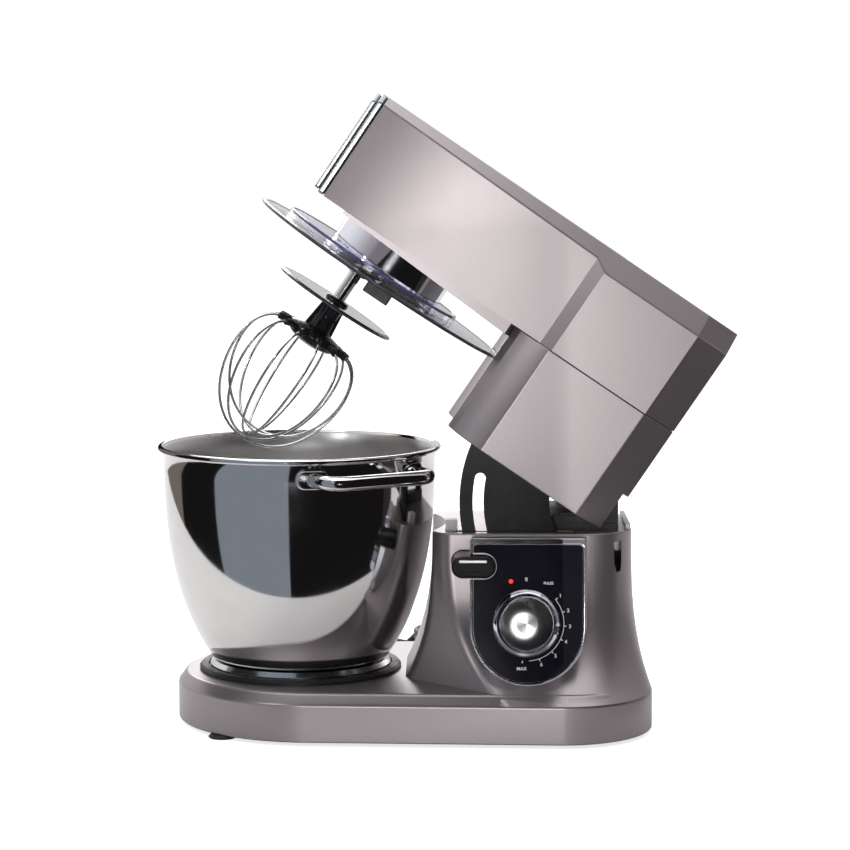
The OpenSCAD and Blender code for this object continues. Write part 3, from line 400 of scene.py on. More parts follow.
PAINT = (0.335, 0.302, 0.308)
LOOKS = {
    "paint": (finish_of("satin_taupe_paint", PAINT, 0.33, spread=0.08, grain=2600, wear=12, bump=0.05,
                        depth=0.01, rough_spread=0.02, Metallic=0.8, Coat_Weight=0.15, Coat_Roughness=0.3),
              "paint"),
    "chrome": (finish_of("polished_chrome", (0.79, 0.80, 0.86), 0.07, spread=0.02, grain=900, wear=25,
                         bump=0.01, rough_spread=0.02, Metallic=1.0), "trim"),
    "satin_chrome": (finish_of("satin_chrome", (0.36, 0.38, 0.39), 0.26, spread=0.03, grain=900, wear=25,
                               bump=0.02, rough_spread=0.04, Metallic=1.0), "trim"),
    "cap_metal": (finish_of("brushed_cap", (0.43, 0.45, 0.46), 0.3, spread=0.03, grain=900, wear=25,
                            bump=0.02, rough_spread=0.04, Metallic=1.0), "trim"),
    "spun": (spun_metal("spun_aluminium", (0.86, 0.86, 0.88), 0.24), "trim"),
    "mirror": (finish_of("mirror_steel", (0.78, 0.765, 0.755), 0.075, spread=0.025, grain=60, wear=18,
                         bump=0.012, depth=0.2, rough_spread=0.025, Metallic=1.0), "steel"),
    "inside": (finish_of("brushed_bowl_inside", (0.72, 0.71, 0.70), 0.34, spread=0.04, grain=500, wear=30,
                         bump=0.03, rough_spread=0.05, Metallic=1.0), "steel"),
    "steel": (finish_of("turned_steel", (0.70, 0.70, 0.72), 0.17, spread=0.05, grain=500, wear=60,
                        bump=0.03, rough_spread=0.05, Metallic=1.0), "steel"),
    "wire": (finish_of("drawn_wire", (0.62, 0.615, 0.62), 0.16, spread=0.05, grain=700, wear=80,
                       bump=0.03, rough_spread=0.04, Metallic=1.0), "steel"),
    "black": (finish_of("gloss_black_plastic", (0.012, 0.012, 0.014), 0.22, spread=0.2, grain=700, wear=30,
                        bump=0.02, rough_spread=0.05, Specular_IOR_Level=0.2), "black_plastic"),
    "panel": (finish_of("smoked_panel", (0.005, 0.005, 0.010), 0.09, spread=0.2, grain=1200, wear=15,
                        bump=0.01, rough_spread=0.03, Specular_IOR_Level=0.35), "black_plastic"),
    "matte_black": (finish_of("moulded_black_plastic", (0.012, 0.012, 0.013), 0.42, spread=0.2, grain=1500,
                              wear=40, bump=0.2, rough_spread=0.08, Specular_IOR_Level=0.3), "matte_black"),
    "rubber": (finish_of("black_rubber", (0.014, 0.014, 0.014), 0.6, spread=0.25, grain=1800, wear=60,
                         bump=0.3, rough_spread=0.1), "rubber"),
    "cord": (finish_of("cord_sheath", (0.012, 0.012, 0.013), 0.38, spread=0.2, grain=1200, wear=70,
                       bump=0.12, rough_spread=0.08), "rubber"),
    "clear": (finish_of("clear_plastic", (0.96, 0.965, 1.0), 0.05, spread=0.01, grain=300, wear=20, bump=0.01,
                        rough_spread=0.03, Transmission_Weight=1.0, IOR=1.45), "clear_plastic"),
    # painted_dark_edge: an opaque dark edge colour, painted shade standing in for the darkening that
    # refraction gives the rim of clear plastic
    "painted_edge_shade": (finish_of("painted_dark_edge", (0.045, 0.045, 0.055), 0.15, spread=0.1, grain=500, wear=30,
                        bump=0.02), "clear_plastic"),
    "violet": (finish_of("violet_edge", (0.20, 0.19, 0.50), 0.12, spread=0.1, grain=500, wear=30, bump=0.02,
                         Transmission_Weight=0.6), "clear_plastic"),
    "lamp": (finish_of("pilot_red", (0.75, 0.03, 0.015), 0.2, spread=0.1, grain=600, wear=60, bump=0.02,
                       Emission_Color=(1.0, 0.07, 0.03, 1), Emission_Strength=0.6), "lamp"),
    "print": (finish_of("white_print", (0.82, 0.82, 0.84), 0.5, spread=0.05, grain=1500, wear=80, bump=0.02),
              "grey_plastic"),
    "grey": (finish_of("grey_plastic", (0.60, 0.60, 0.62), 0.35, spread=0.05, grain=1200, wear=40, bump=0.08,
                       Transmission_Weight=0.15), "grey_plastic"),
    "block": (finish_of("cast_grey", (0.062, 0.062, 0.052), 0.5, spread=0.2, grain=1400, wear=60, bump=0.25),
              "grey_plastic"),
    "board": (finish_of("circuit_board", (0.03, 0.16, 0.06), 0.45, spread=0.3, grain=350, wear=60, bump=0.1),
              "board"),
    "bronze": (finish_of("sintered_bronze", (0.60, 0.42, 0.20), 0.38, spread=0.15, grain=1600, wear=60,
                         bump=0.2, Metallic=1.0), "bronze"),
    "cast": (finish_of("cast_aluminium", (0.60, 0.60, 0.62), 0.48, spread=0.12, grain=1300, wear=50, bump=0.3,
                       Metallic=1.0), "cast_metal"),
    "copper": (finish_of("enamelled_windings", (0.55, 0.26, 0.12), 0.35, spread=0.25, grain=900, wear=50,
                         bump=0.4, stretch=(1, 1, 6), Metallic=0.9), "copper"),
}


def show(obj, body, look, *stands_for):
    """Gives a new piece its material and body, and hides the CAD nodes that it stands for."""
    material, slot = LOOKS[look]
    obj.data.materials.clear()
    obj.data.materials.append(material)
    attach(obj, body)
    if stands_for:
        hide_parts(*stands_for)
    return obj


def dress(look, *names, edge=0.0, angle=35):
    """Gives CAD nodes a better material, and rounds their edges where edge is set."""
    for name in names:
        obj = nodes[name]
        obj.data.materials.clear()
        obj.data.materials.append(LOOKS[look][0])
        if edge:
            soften(obj, edge, angle, segments=2)
        else:
            smooth(obj, angle)


# ------------------------------------------------------------------ mains cord

CORD_R = 3.2
CORD_EXIT = (218.88, 156, 19)
CORD_ROUTE = [CORD_EXIT, (218.6, 164, 18.6), (217, 174, 17), (213.5, 185, 14), (208, 196, 10.5),
              (201.5, 207, 7), (194.5, 218, 4.6), (187.5, 228, 3.5), (181.5, 238, 3.3), (176.5, 248, 3.3),
              (173.2, 258, 3.3)]
COIL_AT = (132, 272)
COIL_R = 36


def coil_points():
    """Turns of the stored cord: pairs side by side in the two lower layers, then two single turns."""
    inner, outer = COIL_R - CORD_R - 0.1, COIL_R + CORD_R + 0.1
    radii = [outer, inner, inner, outer, COIL_R, COIL_R]
    heights = [CORD_R + 0.1, CORD_R + 0.1, 3 * CORD_R + 0.3, 3 * CORD_R + 0.3, 5 * CORD_R, 7 * CORD_R]
    start = math.radians(-4)
    result = []
    for turn in range(len(radii)):
        for k in range(24):
            a = start + 2 * math.pi * k / 24
            blend = max(0.0, (k - 18) / 6) if turn + 1 < len(radii) else 0.0
            nxt = min(turn + 1, len(radii) - 1)
            r = radii[turn] + (radii[nxt] - radii[turn]) * blend
            z = heights[turn] + (heights[nxt] - heights[turn]) * blend
            result.append((COIL_AT[0] + r * math.cos(a), COIL_AT[1] + r * math.sin(a), z))
    return result


def add_cord():
    plug_low, plug_high = box_mm("plug_body")
    tip = (plug_high.x - 2, COIL_AT[1], (plug_low.z + plug_high.z) / 2)
    coil = coil_points()
    last = [(COIL_AT[0] + COIL_R * math.cos(a), COIL_AT[1] + COIL_R * math.sin(a), 7 * CORD_R)
            for a in (math.radians(-4 + 15 * k) for k in range(11))]
    tail = [(COIL_AT[0] - COIL_R - 1, COIL_AT[1] + 4, 17), (tip[0], tip[1], tip[2])]
    path = spline_through(CORD_ROUTE + coil + last + tail, 3)
    return rod("power_lead", path, CORD_R, sides=4), path


cord, cord_path = add_cord()
show(cord, "root", "cord", "power_cord", "cord_coil")


def add_tie():
    """A strap round the stored turns."""
    middle = COIL_AT[1] + COIL_R
    ring = [(y, z) for y, z in rounded([(-8.4, 0.2), (8.4, 0.2), (8.4, 25.4), (-8.4, 25.4)], 5)]
    inner = [(y * 0.9, 12.8 + (z - 12.8) * 0.93) for y, z in ring]
    place = Matrix.Translation(Vector((COIL_AT[0] - 4, middle, 0)) * MM) @ Matrix((
        (0, 0, 1, 0), (1, 0, 0, 0), (0, 1, 0, 0), (0, 0, 0, 1)))
    return show(plate("cord_tie", [ring, inner], 0, 8, place, 0.3), "root", "rubber")


add_tie()


# ------------------------------------------------------------------ base

def base_section(z, inset):
    rear = [(REAR_CORNER[0], side * REAR_CORNER[1], REAR_CORNER_R - inset) for side in (1, -1)]
    return [(x, y, z) for x, y in hull_outline([(NOSE_X, 0, HALF_FRONT - inset)] + rear)]


def column_section(z, inset=0.0):
    spread = (1 - min(1, (z - FOOT_Z) / (COLUMN_Z - FOOT_Z))) ** 3
    half = HALF_TOP + (HALF_REAR - HALF_TOP) * spread
    rear = COLUMN_REAR_R + FLARE_REAR_R * spread
    circles = []
    for side in (1, -1):
        circles += [(COLUMN_FRONT - 27 * spread + COLUMN_EDGE_R,
                     side * (HALF_TOP - COLUMN_EDGE_R - 12 * spread),
                     COLUMN_EDGE_R - inset),
                    (COLUMN_FRONT + COLUMN_EDGE_R + 48 * spread, side * (half - COLUMN_EDGE_R),
                     COLUMN_EDGE_R - inset),
                    (COLUMN_REAR + 17 * spread - rear, side * (half - rear), rear - inset)]
    return [(x, y, z) for x, y in hull_outline(circles)]


def shield(inset=0.0, top=None, steps=48):
    """Outline of the control panel: a half circle below, two small round corners above."""
    r, head = PANEL_W / 2 - inset, PANEL_H - (inset if top is None else top)
    arc = [(r * math.cos(a), PANEL_W / 2 + r * math.sin(a))
           for a in (math.pi + math.pi * k / steps for k in range(steps + 1))]
    return arc + rounded([(r, PANEL_W / 2 + 4), (r, head), (-r, head), (-r, PANEL_W / 2 + 4)], [0, 3, 3, 0])


PANEL_SPREAD = (1 - (PANEL_LOW_Z - FOOT_Z) / (COLUMN_Z - FOOT_Z)) ** 3
PANEL_LOW_Y = -(HALF_TOP + (HALF_REAR - HALF_TOP) * PANEL_SPREAD) - 1
PANEL = (Matrix.Translation(Vector((PANEL_X, PANEL_LOW_Y, PANEL_LOW_Z)) * MM)
         @ Matrix.Rotation(math.pi / 2 - PANEL_LEAN, 4, "X"))
SIDEWAYS = Matrix.Rotation(math.pi / 2, 4, "X")     # local Z points at -Y
BUTTON_PLACE = Matrix.Translation(Vector((BUTTON[0], 0, BUTTON[1])) * MM) @ SIDEWAYS
BUTTON_ON_PANEL = (BUTTON[0] - PANEL_X, (BUTTON[1] - PANEL_LOW_Z) / math.cos(PANEL_LEAN))


def button_hole(grow_w, grow_h):
    return plate("button_hole", [stadium(BUTTON_W + grow_w, BUTTON_H + grow_h, 16, *BUTTON_ON_PANEL)], -60,
                 40,
                 PANEL, 0)


def block(low, high):
    (x0, y0, z0), (x1, y1, z1) = low, high
    return loft("block", [[(x0, y0, z), (x1, y0, z), (x1, y1, z), (x0, y1, z)] for z in (z0, z1)])


def add_base():
    rows = [(BASE_Z, 1), (BASE_Z + 1, 0), (32.6, 0), (34, 0.35), (35.2, 1.1), (36.4, 2.1), (41, 5.6),
            (42.2, 6.8),
            (42.8, 7.9), (DECK_Z, 9.2)]
    body = loft("base_body", [base_section(z, inset) for z, inset in rows])
    levels = [FOOT_Z + (COLUMN_Z - FOOT_Z) * t for t in (0, .03, .06, .1, .15, .2, .27, .36, .47, .6, .8)]
    column = loft("column", [column_section(z) for z in levels] + [
        column_section(166.4), column_section(167.3, 0.4), column_section(COLUMN_Z, 1.3)])
    recess = revolve("recess", [(0, 45), (90, 45), (104, 73), (118, 115), (RECESS_R, 143), (RECESS_R, 190),
                                (0, 190)],
                     steps=160)
    column = combine(column, recess, "DIFFERENCE")
    body = combine(body, column, "UNION")
    body = combine(body, plate("boss", [shield(2.7)], -40, -1, PANEL, 0), "UNION")
    body = combine(body, block((274.5, -40, 166), (278.5, 40, 172)), "UNION")
    body = combine(body, loft("below", [base_section(z, 5) for z in (2, 38)]), "DIFFERENCE")
    hollow = rounded([(130, -62), (272, -62), (272, 62), (130, 62)], 16)
    body = combine(body, plate("hollow", [hollow], 37, 160, IDENTITY, 0), "DIFFERENCE")
    body = combine(body, block((130, -59.5, 128), (230, -52.5, 188)), "DIFFERENCE")
    body = combine(body, block((123.7, -51.3, 138), (134.3, -40.7, 198)), "DIFFERENCE")
    body = combine(body, plate("ring_groove", [shield(-0.3), shield(2.6)], -9.2, 40, PANEL, 0), "DIFFERENCE")
    body = combine(body, plate("button_hole", [stadium(BUTTON_W + 1, BUTTON_H + 1)], 58, 130, BUTTON_PLACE,
                               0),
                   "DIFFERENCE")
    body.name = "base_body"
    show(soften(body, 0.7, 40, 2), "root", "paint", "base_shell")


add_base()
dress("matte_black", "bottom_cover", "seat_ring", "hinge_bracket", "cord_gland", edge=0.5)
dress("steel", "cover_screws", "hinge_pin", "latch_pin", "bowl_foot", edge=0.3)
dress("rubber", "rubber_feet", "plug_body", edge=0.6)
dress("steel", "plug_pins", edge=0.2)
dress("board", "control_board")
dress("matte_black", "speed_switch", "safety_switch")


# ------------------------------------------------------------------ control panel

def arc_strip(name, radius, width, start, stop, place, steps=48):
    """A flat band along a circle; angles run clockwise from the top, in degrees."""
    angles = [math.radians(start + (stop - start) * k / steps) for k in range(steps + 1)]
    outer = [((radius + width / 2) * math.sin(a), (radius + width / 2) * math.cos(a)) for a in angles]
    inner = [((radius - width / 2) * math.sin(a), (radius - width / 2) * math.cos(a))
             for a in reversed(angles)]
    return plate(name, [outer + inner], 0, 0.12, place, 0)


def lettering(name, text, size, place):
    """A dial number or word, centred and slightly raised."""
    curve = bpy.data.curves.new(name, "FONT")
    curve.body = text
    curve.size = size * MM
    curve.align_x = curve.align_y = "CENTER"
    curve.extrude = 0.06 * MM
    curve.offset = 0.06 * MM
    return bake(new_object(name, curve, place))


DIAL = [("0", 0, 4.4), ("PULSE", 29, 3.0), ("1", 51, 4.2), ("2", 73, 4.2), ("3", 94, 4.2), ("4", 115, 4.2),
        ("5", 138, 4.2), ("6", 160, 4.2), ("MAX", 186, 3.8)]
DIAL_FACE = 2.25


def add_panel():
    face = combine(plate("panel_face", [shield(2.9, 5.2)], -0.8, 2.2, PANEL, 0), button_hole(2, 4),
                   "DIFFERENCE")
    face.name = "panel_face"
    show(soften(face, 0.3), "root", "panel", "control_panel")
    ring = combine(plate("panel_ring", [shield(), shield(2.4, 4.7)], -9, 3, PANEL, 0), button_hole(2, 4),
                   "DIFFERENCE")
    ring.name = "panel_ring"
    show(soften(ring, 0.7, 40), "root", "chrome", "panel_frame")
    centre = PANEL @ Matrix.Translation(Vector((*KNOB, DIAL_FACE)) * MM)
    parts = [arc_strip("scale", 30.6, 0.45, 51, 176, centre)]
    for text, angle, size in DIAL:
        a = math.radians(angle)
        reach = 35.6 if len(text) == 1 else 37.2
        place = centre @ Matrix.Translation(Vector((reach * math.sin(a), reach * math.cos(a), 0)) * MM)
        parts.append(lettering("mark", text, size, place))
        if angle > 40:
            parts.append(arc_strip("tick", 31.6, 2.2, angle - 0.6, angle + 0.6, centre, 2))
    show(joined("dial_marks", parts), "root", "print")
    lens = revolve("pilot_dome", [(0, -3), (2, -3), (2, 2.6), (1.7, 3.2), (1, 3.7), (0, 3.9)],
                   PANEL @ Matrix.Translation(Vector((*LAMP, -0.6)) * MM), 32)
    show(smooth(lens), "root", "lamp", "pilot_lens")


def add_knob():
    place = PANEL @ Matrix.Translation(Vector((*KNOB, 0)) * MM)
    body = revolve("knob_body", [(0, -30), (3, -30), (3, 3), (26.8, 3), (27.5, 3.6), (27.5, 5), (27, 5.8),
                                 (24.8, 7.8),
                                 (24, 8.6), (23.6, 9.6), (22.9, 21), (22.6, 22.1), (22.1, 22.7), (21.7, 22.7),
                                 (21.4, 22.2), (21.4, 21.2), (0, 21.2)], place)
    show(smooth(body, 30), "knob", "chrome", "speed_knob")
    cap = revolve("knob_face", [(0, 21.2), (21.3, 21.2), (21.3, 22.0), (20.9, 22.3), (8, 22.42),
                                (0, 22.45)], place)
    show(smooth(cap, 50), "knob", "spun", "knob_cap")
    mark = revolve("knob_mark", [(0, 22.2), (1.1, 22.2), (1.1, 22.6), (0.8, 22.7), (0, 22.7)],
                   place @ Matrix.Translation((0, 17.5 * MM, 0)), 24)
    show(smooth(mark), "knob", "matte_black")


def add_button():
    front = -(PANEL_LOW_Y + (BUTTON[1] - PANEL_LOW_Z) * math.tan(PANEL_LEAN) - 12)
    body = plate("button_body", [stadium(BUTTON_W, BUTTON_H, 24)], 64, front - 3.6, BUTTON_PLACE, 0)
    show(soften(body, 2.2, 40, 4), "release", "black", "release_button")
    lip = plate("button_lip", [stadium(BUTTON_W - 5.5, BUTTON_H - 5.5, 24),
                               stadium(BUTTON_W - 10, BUTTON_H - 10, 24)],
                front - 4.2, front - 2.1, BUTTON_PLACE, 0.5)
    show(lip, "release", "black")
    # a bright metal strip along the button's top edge, a painted highlight standing in for the glint on that
    # edge
    edge = plate("button_highlight_bar", [stadium(BUTTON_W - 13, 2.3, 12, -0.5, 5.4)], front - 3, front - 1.4,
                 BUTTON_PLACE, 0.4)
    show(edge, "release", "inside")


def coil_spring(name, radius, wire, height, turns, place):
    """A round wire spring along local Z."""
    steps = turns * 20
    points = [(radius * math.cos(a), radius * math.sin(a), height * k / steps)
              for k in range(steps + 1) for a in (2 * math.pi * k / 20,)]
    return rod(name, points, wire, place, sides=3)


add_panel()
add_knob()
add_button()
latch_low, latch_high = box_mm("release_spring")
latch_middle = (latch_low + latch_high) / 2
show(coil_spring("latch_spring_coil", 5.1, 0.45, latch_high.y - latch_low.y - 1, 6,
                 Matrix.Translation(Vector((latch_middle.x, latch_high.y - 0.5, latch_middle.z)) * MM)
                 @ SIDEWAYS),
     "root", "steel", "release_spring")
plunger_low, plunger_high = box_mm("interlock_spring")
plunger_middle = (plunger_low + plunger_high) / 2
show(coil_spring("plunger_spring_coil", 2.5, 0.4, plunger_high.z - plunger_low.z - 1, 5,
                 Matrix.Translation(Vector((plunger_middle.x, plunger_middle.y, plunger_low.z + 0.5)) * MM)),
     "root", "steel", "interlock_spring")
dress("grey", "interlock_plunger", edge=0.8)


# ------------------------------------------------------------------ bowl

BOWL_FLOOR, BOWL_WALL, BOWL_SIDE = 52, 1.2, 115


def add_bowl():
    outer = bezier((74, BOWL_FLOOR, 0), (94, 80, 0), (BOWL_SIDE, 128, 0), (BOWL_SIDE, 215, 0), 40)
    outer = [(68, BOWL_FLOOR), (71.5, BOWL_FLOOR + 0.2)] + [(r, z + 0.8) for r, z, _ in outer[1:]]
    lip = [(BOWL_SIDE, RIM_Z - 4.4), (BOWL_SIDE + 0.6, RIM_Z - 3.9)] + [
        (RIM_R - 2.5 + 2.5 * math.cos(a), RIM_Z - 2.5 + 2.5 * math.sin(a))
        for a in (math.radians(d) for d in range(-100, 171, 15))]
    inner = [(BOWL_SIDE - BOWL_WALL, RIM_Z - 3.2)]
    inner += [(r - BOWL_WALL, z + 0.2 + 0.9 * (1 - (z - BOWL_FLOOR) / 165)) for r, z in reversed(outer[2:])]
    floor = [(60, BOWL_FLOOR + 1.9), (30, BOWL_FLOOR + 1.3), (0, BOWL_FLOOR + 1.3)]
    body = revolve("bowl_body", [(0, BOWL_FLOOR)] + outer + lip + inner + floor, steps=192)
    show(smooth(body, 60), "bowl", "mirror", "bowl_shell")
    body.data.materials.append(LOOKS["inside"][0])
    for face in body.data.polygons:
        outward = face.normal.x * face.center.x + face.normal.y * face.center.y
        face.material_index = int(outward < 0 and face.center.z < (RIM_Z - 4) * MM)


def add_handle():
    bar_r, half, bend, z = 6, 48, 16, 218
    side, out = 115, 139
    turn = Matrix.Rotation(math.radians(-57), 4, "Z")
    start = math.sqrt(side ** 2 - (half - bar_r) ** 2) - 1
    centres = [(out - bend, -(half - bend), -90), (out - bend, half - bend, 0)]
    points = [(start, -half, z)] + [(cx + bend * math.cos(a), cy + bend * math.sin(a), z)
                                    for cx, cy, first in centres
                                    for a in (math.radians(first + 9 * k) for k in range(11))]
    points.append((start, half, z))
    bar = joined("handle_bar", [rod("bar", points, bar_r, turn, sides=10)])
    show(smooth(bar, 60), "bowl", "mirror", "bowl_handle")
    pads = []
    for s in (-1, 1):
        middle = s * math.asin(half / side)
        rows = []
        for scale, lift in ((1.0, 0.05), (1.0, 0.9), (0.94, 1.9), (0.8, 2.5)):
            rows.append([((side + lift) * math.cos(middle + y * scale / side),
                          (side + lift) * math.sin(middle + y * scale / side), z + x * scale)
                         for y, x in stadium(28, 16, 20)])
        pads.append(loft("pad", rows, turn))
    show(smooth(joined("handle_pads", pads), 50), "bowl", "mirror")


add_bowl()
add_handle()


# ------------------------------------------------------------------ head

ACROSS = Matrix(((0, 0, -1, 0), (-1, 0, 0, 0), (0, 1, 0, 0), (0, 0, 0, 1)))     # local Z points at -X
WALL = 3


def head_section(x):
    """Closed section of the head at one place along it, from one lower edge over the top to the other."""
    if x <= 137:
        t = (x + 77) / 214
        half = 60 + 10 * (1 - (1 - t) ** 3.2)
        drop, inset = 7 + 5 * t, 7 + 4 * t
    else:
        drop, inset = 19, 15
        half = 74.5 if x <= 240.5 else 74.5 - 24.5 * (x - 240.5) / 31
    corners = [(-half, SEAM_Z), (-half, HEAD_Z - drop), (-half + inset, HEAD_Z), (half - inset, HEAD_Z),
               (half, HEAD_Z - drop), (half, SEAM_Z)]
    return [(x, y, z) for y, z in rounded(corners, [0, 3, 3, 3, 3, 0], 4)]


def add_head():
    stations = [-77 + 214 * k / 12 for k in range(13)] + [148, 240.5, 271.5]
    sections = [head_section(x) for x in stations]
    count = len(sections[0])
    faces = [(i * count + k, i * count + k + 1, (i + 1) * count + k + 1, (i + 1) * count + k)
             for i in range(len(sections) - 1) for k in range(count - 1)]
    faces += [tuple(range(count))[::-1], tuple(range((len(sections) - 1) * count, len(sections) * count))]
    body = add_mesh("head_body", [p for s in sections for p in s], faces, RAISE)
    wall = body.modifiers.new("wall", "SOLIDIFY")
    wall.thickness, wall.offset = WALL * MM, -1
    show(soften(body, 1.0, 14, 3), "head", "paint", "head_shell")


def neck_outline(inset):
    reach = RECESS_R + inset
    top = math.asin((50 - inset) / reach)
    arc = [(reach * math.cos(a), reach * math.sin(a)) for a in (top * (k / 12 - 1) for k in range(25))]
    side = [(119 + inset, 60 - inset), (130 + inset / 2, 68 - inset), (146, 74.5 - inset),
            (240.5 - inset / 2, 74.5 - inset), (271.5 - inset, 50 - inset / 2)]
    return arc + side + [(x, -y) for x, y in reversed(side)]


def add_neck():
    body = plate("neck_body", [neck_outline(0), neck_outline(WALL)], NECK_Z, SEAM_Z - 0.5, IDENTITY, 0)
    body = combine(body, block((240.5, -54, 160), (300, 54, 204)), "DIFFERENCE")
    body.name = "neck_body"
    body.matrix_world = RAISE @ body.matrix_world
    show(soften(body, 0.9, 14, 3), "head", "paint", "neck_shell")


def cap_outline(inset):
    half, low, high = 60 - inset, SEAM_Z + inset, HEAD_Z - inset
    return rounded([(-half, low), (half, low), (half, high - 7), (half - 7, high), (-half + 7, high),
                    (-half, high - 7)], 2.5)


def add_front():
    place = RAISE @ ACROSS
    show(plate("front_seal", [cap_outline(1.4)], 76.9, 78.1, place, 0), "head", "rubber", "front_gasket")
    show(plate("front_band", [cap_outline(0)], 78, 82.8, place, 1.2), "head", "satin_chrome", "front_cap")
    show(plate("front_line", [cap_outline(2.6)], 82.6, 83.6, place, 0), "head", "rubber")
    show(plate("front_plate", [cap_outline(2.0)], 83.5, 87.5, place, 1.2), "head", "cap_metal")


def add_drive():
    housing = revolve("drive_housing", [(HOUSING_R - 1, 245.5), (HOUSING_R, 246.5), (HOUSING_R, 273.2),
                                        (11.5, 273.2),
                                        (11.5, 269.5), (49, 269.5), (49, 246.5), (49.6, 245.5)], RAISE)
    show(smooth(housing, 40), "head", "chrome", "planet_housing")
    rim = revolve("collar_edge", [(COLLAR_R - 1.8, 243.6), (COLLAR_R - 0.2, 243.6), (COLLAR_R + 0.3, 244.0),
                                  (COLLAR_R + 0.3, 245.5), (COLLAR_R - 0.4, 245.9), (COLLAR_R - 1.8, 245.9)],
                  RAISE @ Matrix.Translation((-12 * MM, 0, 0)))
    show(smooth(rim, 40), "head", "violet")
    # the splash guard's rim gets the painted dark edge: painted shade for the darkening a clear plastic edge
    # shows
    edge = revolve("guard_edge", [(GUARD_R - 3.2, 236.4), (GUARD_R - 0.3, 236.3), (GUARD_R + 0.2, 236.9),
                                  (GUARD_R + 0.2, 238.1), (GUARD_R - 0.5, 238.7),
                                  (GUARD_R - 3.2, 238.9)], RAISE)
    show(smooth(edge, 40), "head", "painted_edge_shade")


add_head()
add_neck()
add_front()
add_drive()
dress("paint", "head_belly", edge=0.8)
dress("black", "sector_plate", edge=0.5)
dress("matte_black", "neck_cover", "planet_carrier", "cooling_fan", "carbon_brushes", edge=0.3)
dress("clear", "guard_collar", "splash_guard", "whisk_disc")
dress("cast", "hinge_arms", "gear_frame", "motor_frame", "lay_pulley", edge=0.4)
dress("steel", "shaft_bearings", "lay_shaft", "motor_pulley", "carrier_shaft", "planet_pinion")
dress("bronze", "hinge_bushes", "ring_gear")
dress("block", "motor_stator")
dress("copper", "motor_armature")
dress("rubber", "drive_belt")
dress("grey", "drive_wheel")
dress("mirror", "tool_spindle", edge=0.4)


# ------------------------------------------------------------------ whisk

TOOL = RAISE @ Matrix.Translation(Vector((SPINDLE_X, 0, DISC_Z)) * MM)
WIRE_R, WHISK_DEPTH = 1.1, 139


def whisk_loop(k):
    """Half a loop of wire in its own plane, from the hub to the tip."""
    drop = k * 2.6
    return bezier((20, 0, -34), (72.8, 0, -22), (63, 0, -WHISK_DEPTH + drop), (0, 0, -WHISK_DEPTH + drop), 28)


def add_whisk():
    wires, sleeves = [], []
    for k in range(6):
        half = whisk_loop(k)
        path = half + [(-x, 0, z) for x, _, z in reversed(half[:-1])]
        turn = TOOL @ Matrix.Rotation(math.radians(30 * k + 12), 4, "Z")
        wires.append(rod("wire", path, WIRE_R, turn, sides=4))
        for end in (path[:4], [(-x, 0, z) for x, _, z in path[:4]]):
            sleeves.append(rod("sleeve", end, 3.0, turn, sides=4))
    show(smooth(joined("wire_loops", wires), 60), "spindle", "wire", "whisk_wires")
    show(smooth(joined("wire_sleeves", sleeves), 60), "spindle", "matte_black")
    hub = revolve("hub_body", [(0, 5), (4.5, 5), (6.2, 4.6), (9.6, 4.2), (10.6, 3.2), (11, 1.8), (11, -1),
                               (9.6, -3),
                               (9.2, -12), (8.6, -14), (9.4, -16), (10, -24), (12.5, -26.5), (22.6, -29),
                               (23.6, -30),
                               (24, -35), (23.4, -36.4), (18.4, -39.6), (8.4, -42), (0, -42)], TOOL, 64)
    ribs = [plate("rib", [rounded([(8.5, -26), (13.2, -27.2), (10.6, -5), (8.5, -4)], 1)], -1, 1,
                  TOOL @ Matrix.Rotation(a, 4, "Z") @ SIDEWAYS, 0.2)
            for a in (math.radians(12 + 60 * k) for k in range(6))]
    hub = joined("hub_body", [hub] + ribs)
    show(smooth(hub, 35), "spindle", "black", "whisk_hub")
    # the whisk disc's rim gets the painted dark edge: painted shade for the darkening a clear plastic edge
    # shows when seen edge-on
    edge = revolve("disc_edge", [(DISC_R - 3.6, 0), (DISC_R - 0.2, -1), (DISC_R + 0.3, -0.4),
                                 (DISC_R + 0.3, 0.4),
                                 (DISC_R - 0.4, 0.9), (DISC_R - 3.4, 1.7)], TOOL)
    show(smooth(edge, 40), "spindle", "painted_edge_shade")
    block_part = plate("drive_block", [rounded([(-7.6, -12), (16.6, -12), (16.6, 12), (-7.6, 12)], 2)], 221,
                       233,
                       RAISE, 0.8)
    show(block_part, "planet", "block")


add_whisk()


# ------------------------------------------------------------------ studio

def add_floor():
    material, nodes_, links, bsdf = shader("studio_floor", (0.70, 0.70, 0.70), Roughness=0.6,
                                           Emission_Color=(1, 1, 1, 1))
    rays = nodes_.new("ShaderNodeLightPath")
    glow = nodes_.new("ShaderNodeMath")
    glow.operation = "MULTIPLY"
    glow.inputs[1].default_value = 0.75
    links.new(rays.outputs["Is Camera Ray"], glow.inputs[0])
    links.new(glow.outputs["Value"], bsdf.inputs["Emission Strength"])
    noise = add_noise(nodes_, links, 3)
    tint(nodes_, links, noise, (0.69, 0.69, 0.69), (0.71, 0.71, 0.71), bsdf.inputs["Base Color"])
    floor = add_mesh("studio_floor", [(-9e3, -9e3, 0), (9e3, -9e3, 0), (9e3, 9e3, 0), (-9e3, 9e3, 0)],
                     [(0, 1, 2, 3)])
    floor.data.materials.append(material)


# cards that only reflections see, round the front: from and to azimuth from -Y, colour, brightness
CARDS = [(-150, -128, (0.02, 0.02, 0.02), 0.4), (-128, -92, (0.62, 0.56, 0.52), 0.28),
         (-92, -56, (0.02, 0.02, 0.02), 0.4), (-56, -4, (0.52, 0.60, 0.70), 0.42),
         (-4, 62, (0.02, 0.018, 0.02), 0.4)]
CARD_RADIUS, CARD_LOW, CARD_HIGH = 250, 2, 420
FLAGS = [((750, -1100, 2), (750, -120, 2), (750, -120, 700), (750, -1100, 700)),
         ((430, -450, 4), (1000, -450, 4), (1000, 200, 4), (430, 200, 4))]


